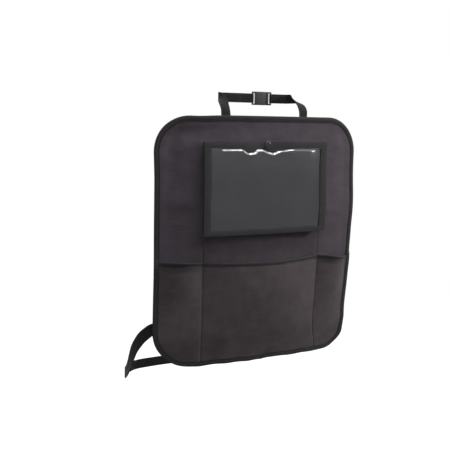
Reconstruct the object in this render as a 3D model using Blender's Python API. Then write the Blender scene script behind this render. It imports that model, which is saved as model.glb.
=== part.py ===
"""Seat-back protector: a bound fabric mat with a tablet pocket, three lower pockets and two strap loops.

Metres. +Z up, +X to the right as the rear passenger sees it, +Y towards the front of the car.
The origin lies midway between the two headrest posts, at the height of the webbing that passes them.
"""
import math

import bmesh
import bpy
from mathutils import Vector

# Mat: overall finished size, with its edge binding
MAT_WIDTH = 0.484
MAT_HEIGHT = 0.548
CORNER_RADIUS = 0.079
MAT_THICKNESS = 0.0030
SIDE_WRAP = 0.0322
END_BOW = 0.0045

# Where the mat hangs from the headrest posts
MAT_DROP = 0.040
MAT_SETBACK = 0.070

# Clearance between pieces that are sewn or laid together
GAP = 0.0003

# Edge binding: a folded tape
TAPE_THICKNESS = 0.0009
BINDING_WIDTH = 0.0115
BINDING_NOSE = 0.0012

# Lower pockets: one sheet, sewn down along two seams
POCKET_CLOTH = 0.0010
MOUTH_HEIGHT = 0.2335
MOUTH_SAG = 0.012
SEAM_X = 0.1395
LEFT_FULLNESS = 0.015
CENTRE_FULLNESS = 0.026
RIGHT_FULLNESS = 0.019
HEM_WIDTH = 0.0065
RISE_START = 0.045
RISE_END = 0.012
FULLNESS_POWER = 1.25
FLAT_FOOT_SHARE = 0.35
HEM_END_STEPS = (0.0, 0.0045, 0.0085, 0.014)

# Tablet pocket: side wall, fabric border, mouth band and clear window
TABLET_WIDTH = 0.283
TABLET_HEIGHT = 0.200
TABLET_DROP = 0.054
BORDER_WIDTH = 0.0150
BORDER_FOOT = 0.0118
BAND_HEIGHT = 0.0145
BORDER_THICKNESS = 0.0015
WALL_THICKNESS = 0.0012
WALL_INSET = 0.0012
WALL_CORNER = 0.006
STANDOFF = 0.0110
STANDOFF_GAIN = 0.0080
WINDOW_THICKNESS = 0.0005
WINDOW_OVERLAP = 0.0060
WINDOW_TUCK = 0.0025

# Snap fastener on the mouth band
SNAP_DROP = 0.0068
SNAP_CAP_DIAMETER = 0.0146
SNAP_CAP_HEIGHT = 0.0030
SNAP_RIVET_DIAMETER = 0.0036
SNAP_HOLE_DIAMETER = 0.0044
SOCKET_DIAMETER = 0.0104
SOCKET_HEIGHT = 0.0036
KNOB_DIAMETER = 0.0056
KNOB_HEIGHT = 0.0030
STUD_DIAMETER = 0.0110
STUD_BASE = 0.0010
POST_FLANGE_DIAMETER = 0.0110
POST_FLANGE_HEIGHT = 0.0010
KNOB_CHAMFER = 0.0008
PUCKER_WIDTH = 0.036
PUCKER_DEPTH = 0.045

# Webbing and side-release buckles
HEADREST_STRAP_WIDTH = 0.0205
SEAT_STRAP_WIDTH = 0.025
STRAP_THICKNESS = 0.0013
STRAP_SEWN_LENGTH = 0.035
HEADREST_STRAP_X = 0.0925
HEADREST_STRAP_SHIFT = 0.0019
POST_SPACING = 0.153
POST_DIAMETER = 0.012
POST_CLEARANCE = 0.003
TAIL_SEWN = 0.028
HEADREST_TAIL = 0.014
SEAT_TAIL = 0.055
BAR_APPROACH = 0.010
TAIL_START = 0.014
HEADREST_BUCKLE_X = 0.022
SEAT_STRAP_DROP = 0.450
SEAT_LOOP_DEPTH = 0.225
SEAT_LOOP_DROP = 0.684

SEAT_STRAP_DIP = 0.010
SEAT_STRAP_LEAVES = 0.017
FLANK_REACH = 0.050

# Lower webbing where it is sewn behind the mat: (share of the sewn length, share of the dip downwards,
# share of the dip set back)
SEAT_STRAP_SEWN = ((1.5, 0.1, 0.0), (1.1, 0.3, 0.0), (0.7, 0.6, 0.01), (0.35, 1.0, 0.14))

# Upper webbing from the mat's top edge to each post: (share of the way in, share of the depth that is
# left, share of the fall that is left) and the direction of its width, with +X outwards
LEFT_RISE = (
    ((0.08, 0.934, 0.672), (-1.0, 0.0, 0.02)),
    ((0.06, 0.790, 0.423), (-0.99, -0.02, 0.12)),
    ((0.66, 0.521, 0.199), (-0.86, -0.10, 0.48)),
    ((1.08, 0.233, 0.050), (-0.50, -0.04, 0.86)),
    ((1.04, 0.090, 0.008), (-0.16, 0.0, 0.98)),
)
RIGHT_RISE = (
    ((0.02, 0.937, 0.660), (-1.0, 0.0, 0.02)),
    ((0.00, 0.757, 0.400), (-0.99, -0.02, 0.10)),
    ((0.12, 0.523, 0.212), (-0.95, -0.06, 0.30)),
    ((0.51, 0.270, 0.087), (-0.74, -0.04, 0.67)),
    ((0.92, 0.090, 0.010), (-0.25, 0.0, 0.96)),
)

# Lower webbing round each flank of the seat: (share of the reach past the edge, share of the depth, share
# of the fall) and the direction of its width, with +X outwards. The left one lies over the bolster's
# rounded corner.
LEFT_FLANK = (
    ((0.038, 0.0080, -0.027), (0.51, 0.16, 0.83)),
    ((0.242, 0.0190, 0.014), (0.52, 0.32, 0.78)),
    ((0.46, 0.0440, 0.080), (0.48, 0.58, 0.65)),
    ((0.61, 0.0810, 0.165), (0.40, 0.76, 0.50)),
    ((0.71, 0.1200, 0.250), (0.32, 0.84, 0.40)),
    ((0.77, 0.1600, 0.345), (0.24, 0.84, 0.42)),
    ((0.82, 0.2400, 0.520), (0.10, 0.76, 0.62)),
    ((0.8, 0.3800, 0.700), (0.0, 0.60, 0.80)),
    ((0.7, 0.5600, 0.845), (-0.08, 0.44, 0.89)),
    ((0.4, 0.7900, 0.950), (-0.12, 0.25, 0.96)),
    ((-0.28, 0.9650, 0.995), (-0.06, 0.06, 0.99)),
    ((-1.5, 1.0, 1.0), (0.0, 0.0, 1.0)),
    ((-2.8, 1.0, 1.0), (0.0, 0.0, 1.0)),
)
RIGHT_FLANK = (
    ((0.06, 0.050, 0.030), (-0.10, 0.15, 0.97)),
    ((0.21, 0.220, 0.140), (0.0, 0.35, 0.94)),
    ((0.26, 0.460, 0.330), (0.0, 0.52, 0.85)),
    ((0.25, 0.690, 0.580), (-0.05, 0.62, 0.78)),
    ((0.1, 0.870, 0.820), (-0.15, 0.52, 0.83)),
    ((-0.4, 0.975, 0.965), (-0.10, 0.20, 0.97)),
    ((-1.5, 1.0, 1.0), (0.0, 0.0, 1.0)),
    ((-2.8, 1.0, 1.0), (0.0, 0.0, 1.0)),
)

# Side-release buckles
BUCKLE_SPAN = 0.045
BUCKLE_RIM = 0.0045
BUCKLE_THICKNESS = 0.0096
BUCKLE_WALL = 0.0018
BUCKLE_SIDE_WALL = 0.0028
BUCKLE_BAR = 0.0030
BUCKLE_SLOT = 0.0050
BUCKLE_CHAMFER = 0.0012
EAR_CHAMFER = 0.0004
SOCKET_LENGTH = 0.0255
SOCKET_FLOOR = 0.0030
LATCH_START = 0.0070
LATCH_END = 0.0080
LATCH_INSET = 0.0006
TONGUE_WIDTH = 0.0060
TONGUE_START = 0.0080
PLUG_HEAD = 0.0060
BUCKLE_PLAY = 0.0005
BAR_CLEARANCE = 0.0010
SUNK = 0.0010

# Mesh density
COLUMNS = 22
SIDE_STEPS = 8
ARC_STEPS = 6
BORDER_STEPS = 16
WALL_STEPS = 6
WINDOW_STEPS = 4
POCKET_SIDE_COLUMNS = 6
POCKET_CENTRE_COLUMNS = 12
POCKET_ROWS = 5
RISE_ROWS = 3
CURVE_STEPS = 6
STRAP_STRIPS = 3
TURNED_SIDES = 20
BAR_SIDES = 8

# Derived places
HALF_WIDTH = MAT_WIDTH / 2
HALF_HEIGHT = MAT_HEIGHT / 2
MAT_Z = -MAT_DROP - HALF_HEIGHT
BOTTOM_Z = MAT_Z - HALF_HEIGHT
TOP_Z = MAT_Z + HALF_HEIGHT
CORE_INSET = TAPE_THICKNESS + GAP
POCKET_INSET = CORE_INSET + GAP
MOUTH_Z = BOTTOM_Z + MOUTH_HEIGHT
HEM_STACK = GAP + TAPE_THICKNESS + GAP
TABLET_TOP_Z = TOP_Z - TABLET_DROP
TABLET_BOTTOM_Z = TABLET_TOP_Z - TABLET_HEIGHT
HALF_TABLET = TABLET_WIDTH / 2
SNAP_Z = TABLET_TOP_Z - SNAP_DROP
SNAP_STACK = GAP + STUD_BASE + GAP + SOCKET_HEIGHT + GAP
RUN_Y = POST_DIAMETER / 2 + POST_CLEARANCE + STRAP_THICKNESS / 2
BAR_TURN = BUCKLE_BAR / 2 + GAP + STRAP_THICKNESS / 2

MATERIALS = {
    "mat_fabric": ((0.056, 0.049, 0.054), 0.86, 0.0),
    "pocket_fabric": ((0.050, 0.043, 0.046), 0.86, 0.0),
    "binding_tape": ((0.026, 0.025, 0.026), 0.80, 0.0),
    "border_fabric": ((0.027, 0.025, 0.027), 0.75, 0.0),
    "clear_film": ((0.86, 0.87, 0.88), 0.08, 0.0),
    "webbing": ((0.042, 0.041, 0.041), 0.82, 0.0),
    "black_plastic": ((0.030, 0.030, 0.032), 0.38, 0.0),
    "snap_enamel": ((0.012, 0.012, 0.013), 0.16, 0.0),
    "snap_metal": ((0.30, 0.29, 0.28), 0.35, 1.0),
}


def clear_scene():
    for old in list(bpy.data.objects):
        bpy.data.objects.remove(old, do_unlink=True)


def material(name):
    found = bpy.data.materials.get(name)
    if found:
        return found
    colour, roughness, metallic = MATERIALS[name]
    made = bpy.data.materials.new(name)
    made.use_nodes = True
    shader = made.node_tree.nodes["Principled BSDF"]
    shader.inputs["Base Color"].default_value = (*colour, 1.0)
    shader.inputs["Roughness"].default_value = roughness
    shader.inputs["Metallic"].default_value = metallic
    return made


def mesh_object(name, material_name, verts, faces):
    mesh = bpy.data.meshes.new(name)
    mesh.from_pydata([tuple(v) for v in verts], [], faces)
    work = bmesh.new()
    work.from_mesh(mesh)
    bmesh.ops.recalc_face_normals(work, faces=work.faces)
    work.to_mesh(mesh)
    work.free()
    mesh.shade_smooth()
    mesh.set_sharp_from_angle(angle=math.radians(35))
    mesh.materials.append(material(material_name))
    made = bpy.data.objects.new(name, mesh)
    bpy.context.scene.collection.objects.link(made)
    return made


# Closed solids from rows or rings of points


def sheet_solid(name, material_name, front_rows, back_rows):
    """A thin closed sheet between two grids of points with the same rows and columns."""
    rows = len(front_rows)
    columns = len(front_rows[0])
    count = rows * columns
    verts = [p for row in front_rows for p in row] + [p for row in back_rows for p in row]

    def front(r, c):
        return r * columns + c

    def back(r, c):
        return count + r * columns + c

    faces = []
    for r in range(rows - 1):
        for c in range(columns - 1):
            faces.append((front(r, c), front(r, c + 1), front(r + 1, c + 1), front(r + 1, c)))
            faces.append((back(r, c), back(r + 1, c), back(r + 1, c + 1), back(r, c + 1)))
    for c in range(columns - 1):
        faces.append((front(0, c + 1), front(0, c), back(0, c), back(0, c + 1)))
        last = rows - 1
        faces.append((front(last, c), front(last, c + 1), back(last, c + 1), back(last, c)))
    for r in range(rows - 1):
        faces.append((front(r, 0), front(r + 1, 0), back(r + 1, 0), back(r, 0)))
        end = columns - 1
        faces.append((front(r + 1, end), front(r, end), back(r, end), back(r + 1, end)))
    return mesh_object(name, material_name, verts, faces)


def swept_solid(name, material_name, rings, closed=False):
    """A solid through rings of points; a closed one joins its last ring to its first."""
    size = len(rings[0])
    verts = [p for ring in rings for p in ring]
    faces = []
    spans = len(rings) if closed else len(rings) - 1
    for k in range(spans):
        here = k * size
        there = ((k + 1) % len(rings)) * size
        for i in range(size):
            j = (i + 1) % size
            faces.append((here + i, here + j, there + j, there + i))
    if not closed:
        faces.append(tuple(reversed(range(size))))
        faces.append(tuple((len(rings) - 1) * size + i for i in range(size)))
    return mesh_object(name, material_name, verts, faces)


def turned_solid(name, material_name, profile, sides=TURNED_SIDES):
    """A profile of (radius, height) points turned about local Z; radius 0 makes a pole."""
    verts = []
    rings = []
    for radius, height in profile:
        start = len(verts)
        if radius == 0:
            verts.append(Vector((0, 0, height)))
            rings.append([start] * sides)
            continue
        for k in range(sides):
            angle = 2 * math.pi * k / sides
            verts.append(Vector((radius * math.cos(angle), radius * math.sin(angle), height)))
        rings.append(list(range(start, start + sides)))
    open_profile = profile[0][0] == 0
    faces = []
    for a, b in zip(rings, rings[1:] if open_profile else rings[1:] + rings[:1]):
        for k in range(sides):
            j = (k + 1) % sides
            corners = [a[k], a[j], b[j], b[k]]
            faces.append(tuple(dict.fromkeys(corners)))
    return mesh_object(name, material_name, verts, faces)


def combine(target, tool, operation):
    """Applies a Boolean of the tool to the target and removes the tool."""
    modifier = target.modifiers.new(operation.lower(), "BOOLEAN")
    modifier.operation = operation
    modifier.object = tool
    graph = bpy.context.evaluated_depsgraph_get()
    mesh = bpy.data.meshes.new_from_object(target.evaluated_get(graph))
    target.modifiers.clear()
    target.data = mesh
    bpy.data.objects.remove(tool, do_unlink=True)
    return target


def block(name, material_name, low, high, bevel=0.0):
    """A box between two corners, with its edges chamfered by the bevel."""
    work = bmesh.new()
    bmesh.ops.create_cube(work, size=1.0)
    size = [high[i] - low[i] for i in range(3)]
    centre = Vector([(high[i] + low[i]) / 2 for i in range(3)])
    bmesh.ops.scale(work, vec=size, verts=work.verts)
    bmesh.ops.translate(work, vec=centre, verts=work.verts)
    if bevel > 0:
        bmesh.ops.bevel(work, geom=work.edges[:], offset=bevel, segments=1, affect="EDGES")
    verts = [v.co.copy() for v in work.verts]
    faces = [tuple(v.index for v in face.verts) for face in work.faces]
    work.free()
    return mesh_object(name, material_name, verts, faces)


def prism(name, material_name, outline, low, high):
    """An outline in local XY extruded from low to high along local Z."""
    rings = [[Vector((x, y, low)) for x, y in outline], [Vector((x, y, high)) for x, y in outline]]
    return swept_solid(name, material_name, rings)


def cylinder(name, material_name, radius, low, high, sides=TURNED_SIDES):
    return turned_solid(name, material_name, [(0, low), (radius, low), (radius, high), (0, high)], sides)


def cross_bar(name, material_name, x, radius, half_length):
    """A many-sided bar along local Y, with a flat side up."""
    rings = []
    for y in (-half_length, half_length):
        ring = []
        for k in range(BAR_SIDES):
            angle = 2 * math.pi * (k + 0.5) / BAR_SIDES
            ring.append(Vector((x + radius * math.cos(angle), y, radius * math.sin(angle))))
        rings.append(ring)
    return swept_solid(name, material_name, rings)


# The curved surface that every sewn layer follows


def smoothstep(low, high, value):
    t = min(max((value - low) / (high - low), 0.0), 1.0)
    return t * t * (3 - 2 * t)


def on_mat(x, z, lift):
    """The point over (x, z) on the mat's front face, lifted towards the rear passenger."""
    across = x / HALF_WIDTH
    along = (z - MAT_Z) / HALF_HEIGHT
    y = -MAT_SETBACK + SIDE_WRAP * across ** 2 + END_BOW * along ** 2
    slope_x = 2 * SIDE_WRAP * across / HALF_WIDTH
    slope_z = 2 * END_BOW * along / HALF_HEIGHT
    outward = Vector((slope_x, -1.0, slope_z)).normalized()
    return Vector((x, y, z)) + outward * lift


def half_width_at(z, inset):
    """Half the width of the rounded outline, drawn in by the inset, at height z."""
    radius = CORNER_RADIUS - inset
    half_width = HALF_WIDTH - inset
    into_corner = abs(z - MAT_Z) - (HALF_HEIGHT - inset - radius)
    if into_corner <= 0:
        return half_width
    return half_width - radius + math.sqrt(max(radius ** 2 - into_corner ** 2, 0.0))


def corner_heights(inset, end):
    """Heights of the rows through the corner arcs at one end (-1 bottom, 1 top), edge first."""
    radius = CORNER_RADIUS - inset
    centre = MAT_Z + end * (HALF_HEIGHT - inset - radius)
    angles = [math.pi / 2 * (1 - k / ARC_STEPS) for k in range(ARC_STEPS + 1)]
    return [centre + end * radius * math.sin(angle) for angle in angles]


def spread(low, high, steps):
    return [low + (high - low) * k / steps for k in range(steps + 1)]


# Mat


def back_panel():
    bottom = corner_heights(CORE_INSET, -1)
    top = corner_heights(CORE_INSET, 1)[::-1]
    heights = bottom + spread(bottom[-1], top[0], SIDE_STEPS)[1:-1] + top
    front_rows = []
    back_rows = []
    for z in heights:
        half = half_width_at(z, CORE_INSET)
        places = spread(-half, half, COLUMNS)
        front_rows.append([on_mat(x, z, 0.0) for x in places])
        back_rows.append([on_mat(x, z, -MAT_THICKNESS) for x in places])
    panel = sheet_solid("back_panel", "mat_fabric", front_rows, back_rows)
    drill = cylinder("drill", "mat_fabric", SNAP_HOLE_DIAMETER / 2, -3 * MAT_THICKNESS, 3 * MAT_THICKNESS)
    stand_on_mat(drill, 0.0, SNAP_Z, 0.0)
    return combine(panel, drill, "DIFFERENCE")


def stand_on_mat(piece, x, z, lift):
    """Places a turned piece with its local Z along the mat's outward normal."""
    base = on_mat(x, z, lift)
    outward = on_mat(x, z, lift + 1.0) - base
    piece.rotation_mode = "QUATERNION"
    piece.rotation_quaternion = Vector((0, 0, 1)).rotation_difference(outward)
    piece.location = base
    bpy.context.view_layer.update()


def mouth_z(x):
    """Height of the lower pockets' mouth, which sags at the right-hand pocket."""
    return MOUTH_Z - MOUTH_SAG * smoothstep(SEAM_X, HALF_WIDTH, x)


def edge_stack(x, z):
    """Height of the layers that the binding's front leg covers at the side edges."""
    mouth = mouth_z(x)
    if abs(x) < SEAM_X:
        return GAP + POCKET_CLOTH
    below = GAP + (HEM_STACK - GAP) * smoothstep(mouth - RISE_START, mouth - RISE_END, z) + POCKET_CLOTH
    return below * (1 - smoothstep(mouth + HEM_STACK, mouth + HEM_END_STEPS[-1], z))


def binding_stations():
    """Stations (x, z, outward x, outward z) around the finished outline, from the bottom left."""
    flat_x = HALF_WIDTH - CORNER_RADIUS
    flat_z = HALF_HEIGHT - CORNER_RADIUS
    stations = []
    for x in spread(-flat_x, flat_x, COLUMNS)[1:-1]:
        stations.append((x, BOTTOM_Z, 0.0, -1.0))
    stations += corner_stations(flat_x, MAT_Z - flat_z, -math.pi / 2)
    for z in side_heights(HALF_WIDTH):
        stations.append((HALF_WIDTH, z, 1.0, 0.0))
    stations += corner_stations(flat_x, MAT_Z + flat_z, 0.0)
    for x in spread(flat_x, -flat_x, COLUMNS)[1:-1]:
        stations.append((x, TOP_Z, 0.0, 1.0))
    stations += corner_stations(-flat_x, MAT_Z + flat_z, math.pi / 2)
    for z in reversed(side_heights(-HALF_WIDTH)):
        stations.append((-HALF_WIDTH, z, -1.0, 0.0))
    stations += corner_stations(-flat_x, MAT_Z - flat_z, math.pi)
    return stations


def corner_stations(centre_x, centre_z, start):
    stations = []
    for angle in spread(start, start + math.pi / 2, ARC_STEPS):
        cosine, sine = math.cos(angle), math.sin(angle)
        stations.append((centre_x + CORNER_RADIUS * cosine, centre_z + CORNER_RADIUS * sine, cosine, sine))
    return stations


def side_heights(x):
    """Heights of the stations up one side, closer together where the pocket's mouth ends."""
    low = MAT_Z - (HALF_HEIGHT - CORNER_RADIUS)
    high = MAT_Z + (HALF_HEIGHT - CORNER_RADIUS)
    mouth = mouth_z(x)
    rise = spread(mouth - RISE_START, mouth - RISE_END, RISE_ROWS)
    near_mouth = rise + [mouth + step for step in HEM_END_STEPS]
    apart = (high - low) / SIDE_STEPS / 4
    below = [z for z in spread(low, high, SIDE_STEPS)[1:-1] if z < near_mouth[0] - apart]
    above = [z for z in spread(low, high, SIDE_STEPS)[1:-1] if z > near_mouth[-1] + apart]
    return below + near_mouth + above


def edge_binding():
    rings = []
    for x, z, out_x, out_z in binding_stations():
        under = edge_stack(x, z) if z < MOUTH_Z + BINDING_WIDTH * 2 else 0.0
        top = under + GAP + TAPE_THICKNESS
        bottom = -(MAT_THICKNESS + GAP + TAPE_THICKNESS)
        profile = [
            (BINDING_WIDTH, top),
            (BINDING_NOSE, top),
            (0.0, top - BINDING_NOSE),
            (0.0, bottom + BINDING_NOSE),
            (BINDING_NOSE, bottom),
            (BINDING_WIDTH, bottom),
            (BINDING_WIDTH, bottom + TAPE_THICKNESS),
            (TAPE_THICKNESS, bottom + TAPE_THICKNESS),
            (TAPE_THICKNESS, top - TAPE_THICKNESS),
            (BINDING_WIDTH, top - TAPE_THICKNESS),
        ]
        rings.append([on_mat(x - out_x * u, z - out_z * u, lift) for u, lift in profile])
    return swept_solid("edge_binding", "binding_tape", rings, closed=True)


# Lower pockets


def pocket_columns(half):
    """Column places across the pocket sheet: under the binding, then compartment by compartment."""
    inner = half - BINDING_WIDTH
    left = spread(-inner, -SEAM_X, POCKET_SIDE_COLUMNS)
    centre = spread(-SEAM_X, SEAM_X, POCKET_CENTRE_COLUMNS)[1:-1]
    right = spread(SEAM_X, inner, POCKET_SIDE_COLUMNS)
    return [-half] + left + centre + right + [half]


def fullness(x, z, half):
    """How far the pocket sheet swells off the mat at one point."""
    inner = half - BINDING_WIDTH - CORE_INSET
    floor_z = BOTTOM_Z + BINDING_WIDTH + CORE_INSET
    rise = min(max((z - floor_z) / (MOUTH_Z - floor_z), 0.0), 1.0)
    height_share = rise ** FULLNESS_POWER * smoothstep(0.0, FLAT_FOOT_SHARE, rise)
    bays = (
        (-inner, -SEAM_X, LEFT_FULLNESS),
        (-SEAM_X, SEAM_X, CENTRE_FULLNESS),
        (SEAM_X, inner, RIGHT_FULLNESS),
    )
    for low, high, depth in bays:
        if low < x < high:
            return depth * height_share * math.sin(math.pi * (x - low) / (high - low)) ** FULLNESS_POWER
    return 0.0


def pocket_lift(x, z, half):
    """Lift of the pocket sheet's back face off the mat."""
    seat = GAP + (HEM_STACK - GAP) * smoothstep(MOUTH_Z - RISE_START, MOUTH_Z - RISE_END, z)
    return seat + fullness(x, z, half)


def pocket_heights():
    bottom = corner_heights(POCKET_INSET, -1)
    plain = spread(bottom[-1], MOUTH_Z - RISE_START, POCKET_ROWS)[1:-1]
    rise = spread(MOUTH_Z - RISE_START, MOUTH_Z - RISE_END, RISE_ROWS)
    return bottom + plain + rise + [MOUTH_Z - HEM_WIDTH, MOUTH_Z]


def sagged(x, z):
    """Moves a height of the level pocket sheet down with its sagging mouth."""
    drop = MOUTH_Z - mouth_z(x)
    return z - drop * ((z - BOTTOM_Z) / MOUTH_HEIGHT) ** 2


def lower_pocket():
    front_rows = []
    back_rows = []
    for z in pocket_heights():
        half = half_width_at(z, POCKET_INSET)
        front = []
        back = []
        for x in pocket_columns(half):
            lift = pocket_lift(x, z, half)
            place_z = sagged(x, z)
            back.append(on_mat(x, place_z, lift))
            front.append(on_mat(x, place_z, lift + POCKET_CLOTH))
        front_rows.append(front)
        back_rows.append(back)
    return sheet_solid("lower_pocket", "pocket_fabric", front_rows, back_rows)


def pocket_hem():
    """Folded tape over the mouth of the lower pockets, between the binding's two legs."""
    half = half_width_at(MOUTH_Z, POCKET_INSET)
    reach = HALF_WIDTH - BINDING_WIDTH - GAP
    places = [x for x in pocket_columns(half) if abs(x) < reach]
    rings = []
    for x in [-reach] + places + [reach]:
        edge_z = MOUTH_Z
        low_z = edge_z - HEM_WIDTH
        high_z = edge_z + GAP

        def leg(z, lift):
            return on_mat(x, sagged(x, z), lift)

        top_back = pocket_lift(x, edge_z, half)
        low_back = pocket_lift(x, low_z, half)
        top_front = top_back + POCKET_CLOTH
        low_front = low_back + POCKET_CLOTH
        outer = GAP + TAPE_THICKNESS
        ring = [
            leg(low_z, low_front + outer),
            leg(edge_z, top_front + outer),
            leg(high_z + TAPE_THICKNESS, top_front),
            leg(high_z + TAPE_THICKNESS, top_back),
            leg(edge_z, top_back - outer),
            leg(low_z, low_back - outer),
            leg(low_z, low_back - GAP),
            leg(high_z, top_back - GAP),
            leg(high_z, top_front + GAP),
            leg(low_z, low_front + GAP),
        ]
        rings.append(ring)
    return swept_solid("pocket_hem", "binding_tape", rings)


# Tablet pocket


def tablet_lift(x, z):
    """Lift of the back face of the tablet pocket's front, drawn in where the snap holds it."""
    lift = STANDOFF + STANDOFF_GAIN * (x / HALF_TABLET) ** 2
    reach = smoothstep(SNAP_Z - PUCKER_DEPTH, TABLET_TOP_Z - BAND_HEIGHT, z)
    pucker = math.exp(-(x / PUCKER_WIDTH) ** 2)
    return lift - (STANDOFF - SNAP_STACK) * reach * pucker


def wall_path():
    """Points (x, z, outward x, outward z) down the left wall, along the bottom and up the right."""
    side = HALF_TABLET - WALL_INSET
    top = TABLET_TOP_Z - WALL_INSET
    bottom = TABLET_BOTTOM_Z + WALL_INSET
    left_bend = (-side + WALL_CORNER, bottom + WALL_CORNER)
    right_bend = (side - WALL_CORNER, bottom + WALL_CORNER)
    path = [(-side, z, -1.0, 0.0) for z in spread(top, left_bend[1], WALL_STEPS)]
    for angle in spread(math.pi, math.pi * 1.5, 3)[1:]:
        cosine, sine = math.cos(angle), math.sin(angle)
        path.append((left_bend[0] + WALL_CORNER * cosine, left_bend[1] + WALL_CORNER * sine, cosine, sine))
    path += [(x, bottom, 0.0, -1.0) for x in spread(left_bend[0], right_bend[0], BORDER_STEPS)[1:]]
    for angle in spread(math.pi * 1.5, math.pi * 2, 3)[1:]:
        cosine, sine = math.cos(angle), math.sin(angle)
        path.append((right_bend[0] + WALL_CORNER * cosine, right_bend[1] + WALL_CORNER * sine, cosine, sine))
    path += [(side, z, 1.0, 0.0) for z in spread(right_bend[1], top, WALL_STEPS)[1:]]
    return path


def tablet_wall():
    """The gusset that stands the tablet pocket off the mat on three sides."""
    rings = []
    for x, z, out_x, out_z in wall_path():
        inner_x = x - out_x * WALL_THICKNESS
        inner_z = z - out_z * WALL_THICKNESS
        rings.append([
            on_mat(x, z, GAP),
            on_mat(x, z, tablet_lift(x, z) - GAP),
            on_mat(inner_x, inner_z, tablet_lift(inner_x, inner_z) - GAP),
            on_mat(inner_x, inner_z, GAP),
        ])
    return swept_solid("tablet_wall", "border_fabric", rings)


def tablet_border():
    """Fabric border on three sides of the window, mitred at its two lower corners."""
    side_top = TABLET_TOP_Z - BAND_HEIGHT - GAP
    inner_x = HALF_TABLET - BORDER_WIDTH
    inner_bottom = TABLET_BOTTOM_Z + BORDER_FOOT
    pairs = []
    for t in spread(0.0, 1.0, WALL_STEPS):
        outer_z = side_top + (TABLET_BOTTOM_Z - side_top) * t
        inner_z = side_top + (inner_bottom - side_top) * t
        pairs.append(((-HALF_TABLET, outer_z), (-inner_x, inner_z)))
    for t in spread(-1.0, 1.0, BORDER_STEPS)[1:]:
        pairs.append(((HALF_TABLET * t, TABLET_BOTTOM_Z), (inner_x * t, inner_bottom)))
    for t in spread(1.0, 0.0, WALL_STEPS)[1:]:
        outer_z = side_top + (TABLET_BOTTOM_Z - side_top) * t
        inner_z = side_top + (inner_bottom - side_top) * t
        pairs.append(((HALF_TABLET, outer_z), (inner_x, inner_z)))
    rings = []
    for (ox, oz), (ix, iz) in pairs:
        outer_lift = tablet_lift(ox, oz)
        inner_lift = tablet_lift(ix, iz)
        rings.append([
            on_mat(ox, oz, outer_lift),
            on_mat(ox, oz, outer_lift + BORDER_THICKNESS),
            on_mat(ix, iz, inner_lift + BORDER_THICKNESS),
            on_mat(ix, iz, inner_lift),
        ])
    return swept_solid("tablet_border", "border_fabric", rings)


def tablet_mouth_band():
    """Band along the tablet pocket's mouth, with the hole for the snap's rivet."""
    front_rows = []
    back_rows = []
    for z in spread(TABLET_TOP_Z - BAND_HEIGHT, TABLET_TOP_Z, 2):
        places = spread(-HALF_TABLET, HALF_TABLET, 2 * BORDER_STEPS)
        back_rows.append([on_mat(x, z, tablet_lift(x, z)) for x in places])
        front_rows.append([on_mat(x, z, tablet_lift(x, z) + BORDER_THICKNESS) for x in places])
    band = sheet_solid("tablet_mouth_band", "border_fabric", front_rows, back_rows)
    hole = SNAP_HOLE_DIAMETER / 2
    drill = cylinder("drill", "border_fabric", hole, -BORDER_THICKNESS, 3 * BORDER_THICKNESS)
    stand_on_mat(drill, 0.0, SNAP_Z, SNAP_STACK)
    return combine(band, drill, "DIFFERENCE")


def tablet_window():
    """Clear film sewn behind the border and the mouth band."""
    half = HALF_TABLET - BORDER_WIDTH + WINDOW_OVERLAP
    bottom = TABLET_BOTTOM_Z + BORDER_FOOT - WINDOW_OVERLAP
    top = TABLET_TOP_Z - BAND_HEIGHT + WINDOW_TUCK
    front_rows = []
    back_rows = []
    plain = spread(bottom, top - PUCKER_DEPTH, WINDOW_STEPS)[:-1]
    puckered = spread(top - PUCKER_DEPTH, top, WALL_STEPS)
    for z in plain + puckered:
        places = spread(-half, half, 2 * BORDER_STEPS - WINDOW_STEPS)
        front_rows.append([on_mat(x, z, tablet_lift(x, z) - GAP) for x in places])
        back_rows.append([on_mat(x, z, tablet_lift(x, z) - GAP - WINDOW_THICKNESS) for x in places])
    return sheet_solid("tablet_window", "clear_film", front_rows, back_rows)


# Snap fastener: a cap riveted into a socket, and a post riveted into a stud


def snap_cap():
    radius = SNAP_CAP_DIAMETER / 2
    crown = SNAP_CAP_HEIGHT
    rivet = SNAP_RIVET_DIAMETER / 2
    rivet_end = -(BORDER_THICKNESS + GAP + SOCKET_HEIGHT * 0.25)
    rim = crown * 0.3
    profile = [(0, rivet_end), (rivet, rivet_end), (rivet, 0), (radius * 0.93, 0), (radius, rim)]
    for k in range(1, 5):
        angle = math.pi / 2 * k / 5
        profile.append((radius * math.cos(angle) ** 0.7, rim + (crown - rim) * math.sin(angle)))
    profile.append((0, crown))
    cap = turned_solid("snap_cap", "snap_enamel", profile)
    stand_on_mat(cap, 0.0, SNAP_Z, SNAP_STACK + BORDER_THICKNESS + GAP)
    return cap


def snap_socket():
    outer = SOCKET_DIAMETER / 2
    mouth = KNOB_DIAMETER / 2 + GAP
    rivet = SNAP_RIVET_DIAMETER / 2 + GAP
    seat = SOCKET_HEIGHT * 0.7
    profile = [
        (mouth, 0.0),
        (outer * 0.92, 0.0),
        (outer, SOCKET_HEIGHT * 0.2),
        (outer, SOCKET_HEIGHT),
        (rivet, SOCKET_HEIGHT),
        (rivet, seat + GAP),
        (mouth, seat + GAP),
    ]
    socket = turned_solid("snap_socket", "snap_metal", profile)
    stand_on_mat(socket, 0.0, SNAP_Z, SNAP_STACK - GAP - SOCKET_HEIGHT)
    return socket


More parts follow.
